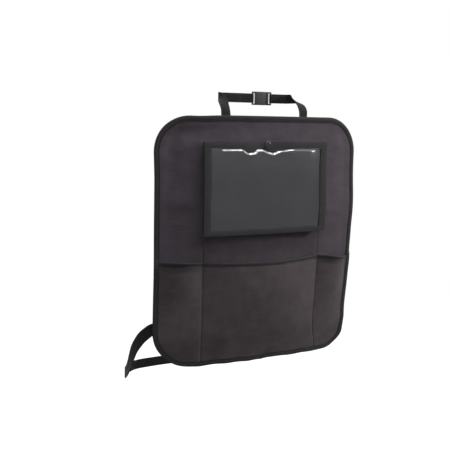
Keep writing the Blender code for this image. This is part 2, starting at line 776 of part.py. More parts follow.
def snap_stud():
    bore = SNAP_RIVET_DIAMETER / 2 + GAP
    knob = KNOB_DIAMETER / 2
    top = STUD_BASE + min(KNOB_HEIGHT, SOCKET_HEIGHT * 0.7)
    profile = [
        (bore, 0.0),
        (STUD_DIAMETER / 2, 0.0),
        (STUD_DIAMETER / 2, STUD_BASE),
        (knob * 0.92, STUD_BASE),
        (knob, top - KNOB_CHAMFER),
        (knob * 0.85, top),
        (bore, top),
    ]
    stud = turned_solid("snap_stud", "snap_metal", profile)
    stand_on_mat(stud, 0.0, SNAP_Z, GAP)
    return stud


def snap_post():
    rivet = SNAP_RIVET_DIAMETER / 2
    flange = POST_FLANGE_DIAMETER / 2
    tip = POST_FLANGE_HEIGHT + GAP + MAT_THICKNESS + GAP + STUD_BASE
    profile = [
        (0, 0.0),
        (flange * 0.8, 0.0),
        (flange, POST_FLANGE_HEIGHT * 0.6),
        (flange, POST_FLANGE_HEIGHT),
        (rivet, POST_FLANGE_HEIGHT),
        (rivet, tip),
        (0, tip),
    ]
    post = turned_solid("snap_post", "snap_metal", profile)
    stand_on_mat(post, 0.0, SNAP_Z, -(MAT_THICKNESS + GAP + POST_FLANGE_HEIGHT))
    return post


# Webbing


def smooth_stations(stations, steps=CURVE_STEPS):
    """Catmull-Rom curve through (point, width direction) stations."""
    padded = [stations[0]] + list(stations) + [stations[-1]]
    out = []
    for a, b, c, d in zip(padded, padded[1:], padded[2:], padded[3:]):
        for k in range(steps):
            t = k / steps
            blended = []
            for i in range(2):
                p0, p1, p2, p3 = Vector(a[i]), Vector(b[i]), Vector(c[i]), Vector(d[i])
                blended.append(0.5 * (
                    2 * p1 + (p2 - p0) * t
                    + (2 * p0 - 5 * p1 + 4 * p2 - p3) * t ** 2
                    + (3 * p1 - p0 - 3 * p2 + p3) * t ** 3
                ))
            out.append(tuple(blended))
    out.append((Vector(stations[-1][0]), Vector(stations[-1][1])))
    return out


def ribbon(name, stations, strap_width):
    """Webbing through stations, its faces square to the width direction."""
    rings = []
    for k, (point, width) in enumerate(stations):
        before = stations[max(k - 1, 0)][0]
        after = stations[min(k + 1, len(stations) - 1)][0]
        tangent = (after - before).normalized()
        across = (width - tangent * width.dot(tangent)).normalized() * (strap_width / 2)
        normal = tangent.cross(across).normalized() * (STRAP_THICKNESS / 2)
        back = [point + across * share - normal for share in spread(-1.0, 1.0, STRAP_STRIPS)]
        front = [point + across * share + normal for share in spread(1.0, -1.0, STRAP_STRIPS)]
        rings.append(back + front)
    return swept_solid(name, "webbing", rings)


def bar_turn(side, bar_x, run_y, z, tail):
    """The run up to a buckle bar, the turn round it and the tail laid back along the run.

    side is -1 for a strap that arrives from the left and 1 for one from the right.
    """
    upright = Vector((0, 0, 1))
    bar_y = run_y + BAR_TURN
    stations = [(Vector((bar_x + side * BAR_APPROACH, run_y, z)), upright)]
    for angle in spread(0.0, math.pi, BAR_SIDES):
        x = bar_x - side * BAR_TURN * math.sin(angle)
        y = bar_y - BAR_TURN * math.cos(angle)
        stations.append((Vector((x, y, z)), upright))
    tail_y = run_y + STRAP_THICKNESS + GAP
    step_y = bar_y + BAR_TURN
    for share in (0.35, 0.7, 1.0):
        x = bar_x + side * TAIL_START * share
        y = step_y + (tail_y - step_y) * smoothstep(0.0, 1.0, share)
        stations.append((Vector((x, y, z)), upright))
    stations.append((Vector((bar_x + side * (TAIL_START + tail), tail_y, z)), upright))
    return stations


def back_of_mat(x, z):
    """Centreline of webbing sewn to the mat's back, clear of the binding's back leg."""
    under = MAT_THICKNESS + GAP + TAPE_THICKNESS + GAP + STRAP_THICKNESS / 2
    return on_mat(x, z, -under)


def across_mat(x, z, toward_x, toward_z):
    """Direction along the mat's curved face from (x, z), for webbing that lies flat on it."""
    step = 0.001
    return on_mat(x + toward_x * step, z + toward_z * step, 0.0) - on_mat(x, z, 0.0)


def headrest_strap(name, side, rise, bar_x, tail):
    """From the mat's top edge over the seat, round the outside of a post and across to the buckle."""
    x = side * HEADREST_STRAP_X + HEADREST_STRAP_SHIFT
    post_x = side * POST_SPACING / 2
    top = back_of_mat(x, TOP_Z)
    inner = across_mat(x, TOP_Z, -side, 0).normalized()
    path = [
        (back_of_mat(x, TOP_Z - STRAP_SEWN_LENGTH), inner),
        (back_of_mat(x, TOP_Z - STRAP_SEWN_LENGTH * 0.6), inner),
        (back_of_mat(x, TOP_Z - STRAP_SEWN_LENGTH * 0.2), inner),
        (top + Vector((0, 0.0010, 0.0020)), inner),
    ]
    beside_post = post_x + side * RUN_Y
    for (in_share, depth_share, fall_share), (width_x, width_y, width_z) in rise:
        place = (x + (beside_post - x) * in_share, top.y * depth_share, top.z * fall_share)
        path.append((place, (side * width_x, width_y, width_z)))
    path.append(((beside_post, 0.0, 0.0), (0, 0, 1)))
    stations = smooth_stations(path)
    for angle in (30, 60, 90):
        turn = math.radians(angle)
        place = Vector((post_x + side * RUN_Y * math.cos(turn), RUN_Y * math.sin(turn), 0.0))
        stations.append((place, Vector((0, 0, 1))))
    stations += bar_turn(side, bar_x, RUN_Y, 0.0, tail)
    return ribbon(name, stations, HEADREST_STRAP_WIDTH)


def seat_strap(name, side, flank, bar_x, tail):
    """From the mat's side edge round the seat's flank and across to the lower buckle."""
    edge_z = TOP_Z - SEAT_STRAP_DROP
    path = []
    for share, fall_share, set_back_share in SEAT_STRAP_SEWN:
        x = side * (HALF_WIDTH - share * STRAP_SEWN_LENGTH)
        z = edge_z - SEAT_STRAP_DIP * fall_share
        place = back_of_mat(x, z) + Vector((0, SEAT_STRAP_DIP * set_back_share, 0))
        path.append((place, across_mat(x, z, -side * 0.20, 0.98).normalized()))
    edge = back_of_mat(side * HALF_WIDTH, edge_z - SEAT_STRAP_LEAVES)
    deep = SEAT_LOOP_DEPTH - edge.y
    descent = -SEAT_LOOP_DROP - edge.z
    for (out_share, depth_share, fall_share), (width_x, width_y, width_z) in flank:
        x = side * (HALF_WIDTH + FLANK_REACH * out_share)
        place = (x, edge.y + deep * depth_share, edge.z + descent * fall_share)
        path.append((place, (side * width_x, width_y, width_z)))
    stations = smooth_stations(path)
    stations += bar_turn(side, bar_x, SEAT_LOOP_DEPTH, -SEAT_LOOP_DROP, tail)
    return ribbon(name, stations, SEAT_STRAP_WIDTH)


# Side-release buckles: local X along the strap, local Y across it, local Z through its thickness


def buckle_frame(name, strap_width, bar_x, toward):
    """Two ears and the bar that the webbing turns round; toward is the side that the body is on."""
    half = strap_width / 2 + BUCKLE_RIM
    inner = strap_width / 2 + BAR_CLEARANCE
    thick = BUCKLE_BAR / 2
    root = bar_x + toward * (thick + BUCKLE_SLOT + SUNK)
    tip = bar_x - toward * thick
    low_x, high_x = min(root, tip), max(root, tip)
    frame = block(name, "black_plastic", (low_x, inner, -thick), (high_x, half, thick), EAR_CHAMFER)
    other = block("ear", "black_plastic", (low_x, -half, -thick), (high_x, -inner, thick), EAR_CHAMFER)
    bar = cross_bar("bar", "black_plastic", bar_x, thick / math.cos(math.pi / BAR_SIDES), half - SUNK)
    combine(frame, bar, "UNION")
    return combine(frame, other, "UNION")


def buckle_socket(name, strap_width, origin):
    half = strap_width / 2 + BUCKLE_RIM
    thick = BUCKLE_THICKNESS / 2
    body_low = BUCKLE_BAR / 2 + BUCKLE_SLOT
    body_high = body_low + SOCKET_LENGTH
    body = block(name, "black_plastic", (body_low, -half, -thick), (body_high, half, thick), BUCKLE_CHAMFER)
    combine(body, buckle_frame("frame", strap_width, 0.0, 1), "UNION")
    cavity_y = half - BUCKLE_SIDE_WALL
    cavity_z = thick - BUCKLE_WALL
    floor = (body_low + SOCKET_FLOOR, -cavity_y, -cavity_z)
    cavity = block("cavity", "black_plastic", floor, (body_high + SOCKET_LENGTH, cavity_y, cavity_z))
    combine(body, cavity, "DIFFERENCE")
    latch_low = (body_low + LATCH_START, -2 * half, -cavity_z)
    latch_high = (body_high - LATCH_END, 2 * half, cavity_z)
    combine(body, block("latch", "black_plastic", latch_low, latch_high), "DIFFERENCE")
    return place_buckle(body, origin)


def buckle_plug(name, strap_width, origin):
    half = strap_width / 2 + BUCKLE_RIM
    thick = BUCKLE_THICKNESS / 2
    body_low = BUCKLE_BAR / 2 + BUCKLE_SLOT
    mouth = body_low + SOCKET_LENGTH
    head_low = mouth + BUCKLE_PLAY
    head_high = head_low + PLUG_HEAD
    head = block(name, "black_plastic", (head_low, -half, -thick), (head_high, half, thick), BUCKLE_CHAMFER)
    combine(head, buckle_frame("frame", strap_width, BUCKLE_SPAN, -1), "UNION")
    arm_z = thick - BUCKLE_WALL - BUCKLE_PLAY
    arm_root = head_low + 2 * SUNK
    tongue_low = (body_low + TONGUE_START, -TONGUE_WIDTH / 2, -arm_z)
    tongue = block("tongue", "black_plastic", tongue_low, (arm_root, TONGUE_WIDTH / 2, arm_z))
    combine(head, tongue, "UNION")
    cavity_y = half - BUCKLE_SIDE_WALL
    shoulder = mouth - LATCH_END - BUCKLE_PLAY
    pad_start = body_low + LATCH_START + BUCKLE_PLAY
    arm = [
        (arm_root, cavity_y - 0.0072),
        (arm_root, cavity_y - 0.0047),
        (shoulder, cavity_y - 0.0025),
        (shoulder, half - LATCH_INSET),
        (pad_start + 0.001, half - LATCH_INSET),
        (pad_start, cavity_y - 0.0010),
        (pad_start - 0.001, cavity_y - 0.0035),
        (shoulder - 0.002, cavity_y - 0.0050),
    ]
    for sign in (1, -1):
        outline = [(x, sign * y) for x, y in arm]
        combine(head, prism("arm", "black_plastic", outline, -arm_z, arm_z), "UNION")
    return place_buckle(head, origin)


def place_buckle(piece, origin):
    piece.rotation_euler = (math.pi / 2, 0, 0)
    piece.location = origin
    return piece


def buckle_pair(prefix, strap_width, centre_x, run_y, z):
    """Socket on the left strap, plug on the right; returns the two bar places."""
    left_bar = centre_x - BUCKLE_SPAN / 2
    origin = (left_bar, run_y + BAR_TURN, z)
    buckle_socket(prefix + "_buckle_socket", strap_width, origin)
    buckle_plug(prefix + "_buckle_plug", strap_width, origin)
    return left_bar, left_bar + BUCKLE_SPAN


def build():
    clear_scene()
    back_panel()
    edge_binding()
    lower_pocket()
    pocket_hem()
    tablet_wall()
    tablet_border()
    tablet_mouth_band()
    tablet_window()
    snap_cap()
    snap_socket()
    snap_stud()
    snap_post()
    left_bar, right_bar = buckle_pair("headrest", HEADREST_STRAP_WIDTH, HEADREST_BUCKLE_X, RUN_Y, 0.0)
    headrest_strap("headrest_strap_left", -1, LEFT_RISE, left_bar, TAIL_SEWN)
    headrest_strap("headrest_strap_right", 1, RIGHT_RISE, right_bar, HEADREST_TAIL)
    left_bar, right_bar = buckle_pair("seat", SEAT_STRAP_WIDTH, 0.0, SEAT_LOOP_DEPTH, -SEAT_LOOP_DROP)
    seat_strap("seat_strap_left", -1, LEFT_FLANK, left_bar, TAIL_SEWN)
    seat_strap("seat_strap_right", 1, RIGHT_FLANK, right_bar, SEAT_TAIL)


build()
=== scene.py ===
"""Looks of the seat-back protector: sewn fabric, taped edges, clear film, webbing and moulded buckles."""

import math

import bmesh
import bpy
import numpy as np
from mathutils import Matrix, Vector, noise


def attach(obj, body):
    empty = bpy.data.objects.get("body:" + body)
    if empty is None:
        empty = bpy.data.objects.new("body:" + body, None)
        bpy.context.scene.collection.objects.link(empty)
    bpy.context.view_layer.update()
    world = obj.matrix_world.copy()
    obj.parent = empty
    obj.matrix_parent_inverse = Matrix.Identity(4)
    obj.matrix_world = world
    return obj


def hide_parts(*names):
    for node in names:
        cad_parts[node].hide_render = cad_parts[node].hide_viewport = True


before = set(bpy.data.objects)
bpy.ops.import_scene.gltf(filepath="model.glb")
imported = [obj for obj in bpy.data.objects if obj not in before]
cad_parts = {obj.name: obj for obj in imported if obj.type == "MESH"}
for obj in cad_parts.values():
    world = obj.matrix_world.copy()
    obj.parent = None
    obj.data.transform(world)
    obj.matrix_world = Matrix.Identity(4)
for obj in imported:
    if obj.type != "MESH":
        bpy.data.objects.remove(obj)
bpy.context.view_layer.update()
BODY = "root"

# Lengths are in metres. Those of a CAD form are the same as there, apart from the hem's width. The curl of
# the mat's lower edge, the droop of the hem and the rise of the left mouth are only here.

# The mat's curved face
MAT_WIDTH = 0.484
MAT_HEIGHT = 0.548
CORNER_RADIUS = 0.079
MAT_THICKNESS = 0.0030
SIDE_WRAP = 0.0322
END_BOW = 0.0045
CURL_DEPTH = 0.0095
CURL_HEIGHT = 0.070
CURL_SHIFT = 0.46
CURL_SPREAD = 0.80
CURL_SINK = 0.44
MAT_DROP = 0.040
MAT_SETBACK = 0.070
HALF_WIDTH = MAT_WIDTH / 2
HALF_HEIGHT = MAT_HEIGHT / 2
MAT_Z = -MAT_DROP - HALF_HEIGHT
TOP_Z = MAT_Z + HALF_HEIGHT
BOTTOM_Z = MAT_Z - HALF_HEIGHT
GAP = 0.0003

# Sewn layers
TAPE_THICKNESS = 0.0009
BINDING_WIDTH = 0.0115
POCKET_CLOTH = 0.0010
MOUTH_HEIGHT = 0.2335
MOUTH_SAG = 0.012
LEFT_MOUTH_RISE = 0.0055
HEM_DROOP = 0.0050
DROOP_SPAN = 0.066
MOUTH_Z = BOTTOM_Z + MOUTH_HEIGHT
SEAM_X = 0.1395
LEFT_FULLNESS = 0.015
CENTRE_FULLNESS = 0.026
RIGHT_FULLNESS = 0.019
HEM_WIDTH = 0.0055
HEM_STACK = GAP + TAPE_THICKNESS + GAP
RISE_START = 0.045
RISE_END = 0.012
CORE_INSET = TAPE_THICKNESS + GAP

# Tablet pocket and snap
TABLET_WIDTH = 0.283
TABLET_HEIGHT = 0.200
TABLET_DROP = 0.054
BORDER_WIDTH = 0.0150
BORDER_FOOT = 0.0118
BAND_HEIGHT = 0.0145
BORDER_THICKNESS = 0.0015
WALL_INSET = 0.0012
WALL_THICKNESS = 0.0012
STANDOFF = 0.0110
STANDOFF_GAIN = 0.0080
WINDOW_THICKNESS = 0.0005
WINDOW_OVERLAP = 0.0060
WINDOW_TUCK = 0.0025
SNAP_DROP = 0.0068
SNAP_STACK = 0.0055
PUCKER_WIDTH = 0.036
PUCKER_DEPTH = 0.045
TABLET_TOP_Z = TOP_Z - TABLET_DROP
TABLET_BOTTOM_Z = TABLET_TOP_Z - TABLET_HEIGHT
HALF_TABLET = TABLET_WIDTH / 2
SNAP_Z = TABLET_TOP_Z - SNAP_DROP


def smoothstep(low, high, value):
    t = np.clip((np.asarray(value, float) - low) / (high - low), 0.0, 1.0)
    return t * t * (3 - 2 * t)


def hill(value, middle, spread):
    """1 at the middle, falling smoothly to 0 beyond the spread."""
    return np.exp(-((value - middle) / spread) ** 2)


def hills(value, rows):
    """The sum of hills given as (middle, spread, height)."""
    return sum(height * hill(value, middle, spread) for middle, spread, height in rows)


def ripples(value, rows):
    """The sum of sine waves given as (height, radians in a metre, phase)."""
    return sum(height * np.sin(rate * value + phase) for height, rate, phase in rows)


# Waves of the hanging cloth in depth and in height along its lower edge: (height, radians in a metre, phase)
FOOT_DEPTH_WAVES = ((0.0012, 38.0, 1.1), (0.0005, 96.0, 0.4))
FOOT_HEIGHT_WAVES = ((0.0008, 52.0, 0.6), (0.0005, 117.0, 2.0))
SIDE_WAVE = 0.0008
SIDE_RATE = 33.0


def slack(x, z):
    """How far the hanging cloth strays in depth and in height, mostly along its lower edge."""
    low = 1 - smoothstep(BOTTOM_Z, BOTTOM_Z + 0.10, z)
    side = smoothstep(0.10, HALF_WIDTH, np.abs(x)) * smoothstep(BOTTOM_Z, BOTTOM_Z + 0.08, z)
    depth = low * ripples(x, FOOT_DEPTH_WAVES) + side * SIDE_WAVE * np.sin(SIDE_RATE * z + 2.0 * np.sign(x))
    return depth, low * ripples(x, FOOT_HEIGHT_WAVES)


# How far the mat's outline lies out of true: (height, shift) down its left edge, and elsewhere hills of
# (middle, spread, shift)
LEFT_STRAY = (
    (-0.600, -0.0066), (-0.530, -0.0048), (-0.460, -0.0034), (-0.380, -0.0018), (-0.260, 0.0),
    (-0.170, 0.0011), (-0.100, 0.0006), (-0.040, 0.0),
)
RIGHT_STRAY = (
    (-0.235, 0.055, 0.0045), (-0.495, 0.065, -0.0068), (-0.590, 0.024, 0.0048), (-0.562, 0.018, 0.0056),
)
TOP_STRAY = ((-0.232, 0.018, 0.0016), (-0.150, 0.035, -0.0020))
FOOT_STRAY = ((0.152, 0.036, -0.0042), (-0.140, 0.055, -0.0028), (0.0, 0.011, -0.0022))


def stray(x, z):
    """How far the mat's outline lies out of true, sideways and upwards."""
    left = smoothstep(0.02, HALF_WIDTH, -x)
    right = smoothstep(0.02, HALF_WIDTH, x)
    low = 1 - smoothstep(BOTTOM_Z, BOTTOM_Z + 0.12, z)
    high = smoothstep(TOP_Z - 0.10, TOP_Z, z)
    sideways = left * np.interp(z, *np.transpose(LEFT_STRAY)) + right * hills(z, RIGHT_STRAY)
    return sideways, high * hills(x, TOP_STRAY) + low * hills(x, FOOT_STRAY)


def curl(z):
    """How far the mat's lower edge curls back."""
    return CURL_DEPTH * (1 - smoothstep(BOTTOM_Z, BOTTOM_Z + CURL_HEIGHT, z))


def on_mat(x, z, lift):
    """Points over (x, z) on the mat's front face, lifted towards the viewer; all three may be arrays."""
    x, z, lift = np.broadcast_arrays(np.asarray(x, float), np.asarray(z, float), np.asarray(lift, float))
    across = x / HALF_WIDTH
    along = (z - MAT_Z) / HALF_HEIGHT
    depth, height = slack(x, z)
    sideways, upwards = stray(x, z)
    back = curl(z)
    y = -MAT_SETBACK + SIDE_WRAP * across ** 2 + END_BOW * along ** 2 + depth + back
    x = x + sideways + back * (CURL_SHIFT + CURL_SPREAD * x)
    z = z + height + upwards - CURL_SINK * back
    slope_x = 2 * SIDE_WRAP * across / HALF_WIDTH
    slope_z = 2 * END_BOW * along / HALF_HEIGHT
    length = np.sqrt(slope_x ** 2 + 1 + slope_z ** 2)
    return np.stack([x + lift * slope_x / length, y - lift / length, z + lift * slope_z / length], axis=-1)


def half_width_at(z, inset):
    radius = CORNER_RADIUS - inset
    half_width = HALF_WIDTH - inset
    into = np.maximum(np.abs(z - MAT_Z) - (HALF_HEIGHT - inset - radius), 0.0)
    return half_width - radius + np.sqrt(np.maximum(radius ** 2 - into ** 2, 0.0))


def mouth_z(x):
    left = np.clip((-np.asarray(x) - SEAM_X) / (HALF_WIDTH - SEAM_X), 0.0, 1.0)
    return MOUTH_Z - MOUTH_SAG * smoothstep(SEAM_X, HALF_WIDTH, x) + LEFT_MOUTH_RISE * np.sin(np.pi * left)


def waves(x, z, size, seed):
    """Smooth noise in [-1, 1] over the mat, the same on every run."""
    x, z = np.broadcast_arrays(np.asarray(x, float), np.asarray(z, float))
    flat = [noise.noise(Vector((a / size, b / size, seed))) for a, b in zip(x.ravel(), z.ravel())]
    return np.array(flat).reshape(x.shape)


def layered(x, z, layers):
    """The sum of layers of noise given as (share, stretch across, stretch along, size, seed)."""
    parts = [share * waves(x * across, z * along, size, seed) for share, across, along, size, seed in layers]
    return sum(parts)


# Meshes


def placed(name, data):
    made = bpy.data.objects.new(name, data)
    bpy.context.scene.collection.objects.link(made)
    return made


def dressed(piece, finish, node, sharp_angle):
    """Gives a piece the material of its finish, a pair of material and slot whose slot is not used, and hides
    the CAD node that it stands for.
    """
    material, slot_name = finish
    piece.data.shade_smooth()
    piece.data.set_sharp_from_angle(angle=math.radians(sharp_angle))
    piece.data.materials.append(material)
    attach(piece, BODY)
    if node:
        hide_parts(node)
    return piece


def finished(name, verts, faces, loop_uvs, finish, node):
    """Makes a closed piece from vertices, quads or polygons and one UV pair, in metres, for each corner."""
    mesh = bpy.data.meshes.new(name)
    mesh.from_pydata(np.asarray(verts).tolist(), [], [tuple(int(i) for i in face) for face in faces])
    if loop_uvs is not None:
        layer = mesh.uv_layers.new(name="metres")
        layer.data.foreach_set("uv", np.asarray(loop_uvs, dtype=np.float32).ravel())
    work = bmesh.new()
    work.from_mesh(mesh)
    bmesh.ops.recalc_face_normals(work, faces=work.faces)
    work.to_mesh(mesh)
    work.free()
    return dressed(placed(name, mesh), finish, node, 50)


def sheet_piece(name, x, z, lift, thickness, finish, node, uv_z=None):
    """A thin closed sheet of cloth or film over grids of (x, z), with its front face at the lift."""
    front, back = on_mat(x, z, lift), on_mat(x, z, lift - thickness)
    rows, columns = x.shape
    count = rows * columns
    verts = np.concatenate([front.reshape(-1, 3), back.reshape(-1, 3)])
    uv = np.concatenate([np.stack([x, z if uv_z is None else uv_z], -1).reshape(-1, 2)] * 2)
    index = np.arange(count).reshape(rows, columns)
    a, b, c, d = index[:-1, :-1], index[:-1, 1:], index[1:, 1:], index[1:, :-1]
    rim = np.concatenate([index[0], index[1:, -1], index[-1, -2::-1], index[-2:0:-1, 0]])
    after = np.roll(rim, -1)
    faces = np.concatenate([
        np.stack([a, b, c, d], -1).reshape(-1, 4), np.stack([a, d, c, b], -1).reshape(-1, 4) + count,
        np.stack([after, rim, rim + count, after + count], -1),
    ])
    return finished(name, verts, faces, uv[faces.ravel()], finish, node)


def swept_piece(name, rows, along, finish, node, sample=0, closed=False):
    """A solid between rows of points, with UVs along it and, as measured at one sample place, around it."""
    rings = np.stack(rows, 1)
    around = lengths_along(rings[sample], closed=True)
    count, size = rings.shape[:2]
    spans = count if closed else count - 1
    k = np.arange(spans)[:, None]
    i = np.arange(size)[None, :]
    here = k * size
    there = ((k + 1) % count) * size
    j = (i + 1) % size
    faces = np.stack([here + i, here + j, there + j, there + i], -1).reshape(-1, 4)
    u = along[:spans, None], along[1:spans + 1, None]
    v = around[None, :-1], around[None, 1:]
    corners = [np.stack(np.broadcast_arrays(u[a], v[b]), -1) for a, b in ((0, 0), (0, 1), (1, 1), (1, 0))]
    uv = np.stack(corners, 2).reshape(-1, 2)
    faces = [tuple(face) for face in faces]
    if not closed:
        faces += [tuple(range(size))[::-1], tuple((count - 1) * size + n for n in range(size))]
        uv = np.concatenate([uv, np.zeros((2 * size, 2))])
    return finished(name, rings.reshape(-1, 3), faces, uv, finish, node)


def unit(vectors):
    vectors = np.asarray(vectors, float)
    return vectors / np.linalg.norm(vectors, axis=-1, keepdims=True)


def square_to(along, vectors):
    """The vectors' unit directions square to the unit vectors along a path."""
    return unit(vectors - along * np.sum(vectors * along, 1, keepdims=True))


def between(places, travelled, rows):
    """What rows of three values come to at places along the distance travelled."""
    return np.stack([np.interp(places, travelled, rows[:, i]) for i in range(3)], -1)


def lengths_along(points, closed=False):
    """Distance travelled along a row of points, with the way back to the first one if it is closed."""
    path = np.concatenate([points, points[:1]]) if closed else points
    steps = np.linalg.norm(np.diff(path, axis=0), axis=1)
    return np.concatenate([[0.0], np.cumsum(steps)])


def turned_piece(name, section, place, outward, finish, node, sides=48):
    """A section of (radius, height) points turned about the outward direction at a place."""
    section = np.array(section, float)
    poles = section[0, 0] == 0
    angles = np.linspace(0, 2 * math.pi, sides, endpoint=False)[:, None]
    radius = np.maximum(section[:, 0], 1e-5 if poles else 0.0)
    height = np.broadcast_to(section[:, 1], (sides, len(section)))
    local = np.stack([radius * np.cos(angles), radius * np.sin(angles), height], -1)
    turn = np.array(Vector((0, 0, 1)).rotation_difference(Vector(outward)).to_matrix())
    verts = (local @ turn.T + np.array(place)).reshape(-1, 3)
    size = len(section)
    faces = []
    for k in range(sides):
        n = (k + 1) % sides
        for i in range(size - 1 if poles else size):
            j = (i + 1) % size
            faces.append((k * size + i, n * size + i, n * size + j, k * size + j))
    if poles:
        faces.append(tuple(k * size for k in range(sides))[::-1])
        faces.append(tuple(k * size + size - 1 for k in range(sides)))
    return finished(name, verts, faces, None, finish, node)


STITCH_LENGTH = 0.0030
STITCH_PITCH = 0.0038
STITCH_RADIUS = 0.00028
STITCH_SIDES = 6
NARROW_PITCH = 0.0034


def stitches(name, lines, slot_name, pitch=STITCH_PITCH):
    """Sewn thread: one short arched stitch after another along lines of (points, normals)."""
    share = np.linspace(-0.5, 0.5, 5) * STITCH_LENGTH
    girth = STITCH_RADIUS * np.array([0.35, 0.9, 1.0, 0.9, 0.35])
    rise = STITCH_RADIUS * np.array([-1.2, 0.2, 0.5, 0.2, -1.2])
    angles = np.linspace(0, 2 * math.pi, STITCH_SIDES, endpoint=False)
    up_by = rise[:, None] + girth[:, None] * np.cos(angles)
    side_by = girth[:, None] * np.sin(angles)
    along_by = np.broadcast_to(share[:, None], up_by.shape)
    verts = []
    for points, normals in lines:
        travelled = lengths_along(points)
        places = np.arange(pitch * 0.5, travelled[-1], pitch)
        ahead = between(places + pitch * 0.2, travelled, points)
        along = unit(ahead - between(places - pitch * 0.2, travelled, points))
        up = square_to(along, between(places, travelled, normals))
        here = between(places, travelled, points)
        axes = ((along, along_by), (up, up_by), (np.cross(along, up), side_by))
        moved = [axis[:, None, None] * by[None, :, :, None] for axis, by in axes]
        verts.append((here[:, None, None] + sum(moved)).reshape(-1, 3))
    verts = np.concatenate(verts)
    size = up_by.size
    ring = [[k * STITCH_SIDES + n for n in range(STITCH_SIDES)] for k in range(len(share))]
    one = [tuple(ring[0])[::-1], tuple(ring[-1])]
    for low, high in zip(ring, ring[1:]):
        one += [(low[n - 1], low[n], high[n], high[n - 1]) for n in range(STITCH_SIDES)]
    faces = [tuple(start + n for n in face) for start in range(0, len(verts), size) for face in one]
    return finished(name, verts, faces, None, (THREAD, slot_name), None)


# Materials


def set_sockets(node, values):
    """Sets a node's inputs to numbers or links them to other nodes' outputs."""
    for key, value in values.items():
        if isinstance(value, bpy.types.NodeSocket):
            node.id_data.links.new(value, node.inputs[key])
        else:
            node.inputs[key].default_value = value


def add(tree, kind, inputs=None, **settings):
    made = tree.nodes.new("ShaderNode" + kind)
    for key, value in settings.items():
        setattr(made, key, value)
    set_sockets(made, inputs or {})
    return made


def start_material(name):
    made = bpy.data.materials.new(name)
    made.use_nodes = True
    tree = made.node_tree
    return made, tree, tree.nodes["Principled BSDF"], add(tree, "TexCoord").outputs["Object"]


def sum_up(tree, operation, *values):
    """The values joined one after another by a sum, a product or the like."""
    result = values[0]
    for value in values[1:]:
        result = add(tree, "Math", {0: result, 1: value}, operation=operation).outputs[0]
    return result


def product(tree, *values):
    return sum_up(tree, "MULTIPLY", *values)


def total(tree, *values):
    return sum_up(tree, "ADD", *values)


def wave_of(tree, value, pitch):
    """A sine that repeats each pitch of a length in metres."""
    scaled = product(tree, value, 2 * math.pi / pitch)
    return add(tree, "Math", {0: scaled}, operation="SINE").outputs[0]


def blended(tree, factor, low, high):
    return add(tree, "Mix", {"Factor": factor, "A": low, "B": high}, data_type="RGBA").outputs["Result"]


def remapped(tree, value, **limits):
    """A value from one range put into another, with limits such as From_Min."""
    inputs = {key.replace("_", " "): limit for key, limit in limits.items()}
    return add(tree, "MapRange", {"Value": value, **inputs}).outputs[0]


def shaded_colour(tree, colour, spread, value):
    """The colour made darker and lighter by the spread as the value goes from 0 to 1."""
    low, high = (tuple(c * (1 + change) for c in colour) + (1.0,) for change in (-spread, spread))
    return blended(tree, value, low, high)


def noise_of(tree, place, scale, detail):
    inputs = {"Vector": place, "Scale": scale, "Detail": detail, "Roughness": 0.6}
    return add(tree, "TexNoise", inputs).outputs["Fac"]


def relief(tree, height, distance, strength=1.0):
    return add(tree, "Bump", {"Height": height, "Distance": distance, "Strength": strength}).outputs["Normal"]


# Broad, middle and fine noise in the cloth: (scale, detail)
CLOTH_NOISES = ((22.0, 4.0), (90.0, 2.0), (900.0, 2.0))
SLUB_STRETCH = (22.0, 420.0, 1.0)
CLOTH_GLOSS = 0.08


def woven_material(name, colour, pitch, depth, roughness, sheen, spread):
    """Plain woven cloth: threads at the given pitch in the piece's UVs, with uneven dye and fuzz."""
    made, tree, shader, place = start_material(name)
    uv = add(tree, "UVMap", uv_map="metres").outputs["UV"]
    parts = add(tree, "SeparateXYZ", {"Vector": uv})
    weave = product(tree, wave_of(tree, parts.outputs["X"], pitch), wave_of(tree, parts.outputs["Y"], pitch))
    broad, mid, fine = (noise_of(tree, place, *part) for part in CLOTH_NOISES)
    broad = remapped(tree, broad, From_Min=0.32, From_Max=0.68)
    drawn_out = add(tree, "VectorMath", {0: uv, 1: SLUB_STRETCH}, operation="MULTIPLY").outputs[0]
    slubs = remapped(tree, noise_of(tree, drawn_out, 1.0, 2.0), From_Min=0.30, From_Max=0.70)
    shares = ((broad, 0.50), (mid, 0.15), (slubs, 0.30), (weave, 0.10))
    tone = total(tree, *(product(tree, part, share) for part, share in shares))
    height = total(tree, product(tree, weave, 0.5), product(tree, fine, 0.35))
    set_sockets(shader, {
        "Base Color": shaded_colour(tree, colour, spread, tone),
        "Normal": relief(tree, height, depth),
        "Roughness": remapped(tree, mid, To_Min=roughness - 0.05, To_Max=roughness + 0.05),
        "Sheen Weight": sheen,
        "Sheen Roughness": 0.45,
        "Specular IOR Level": CLOTH_GLOSS,
    })
    return made


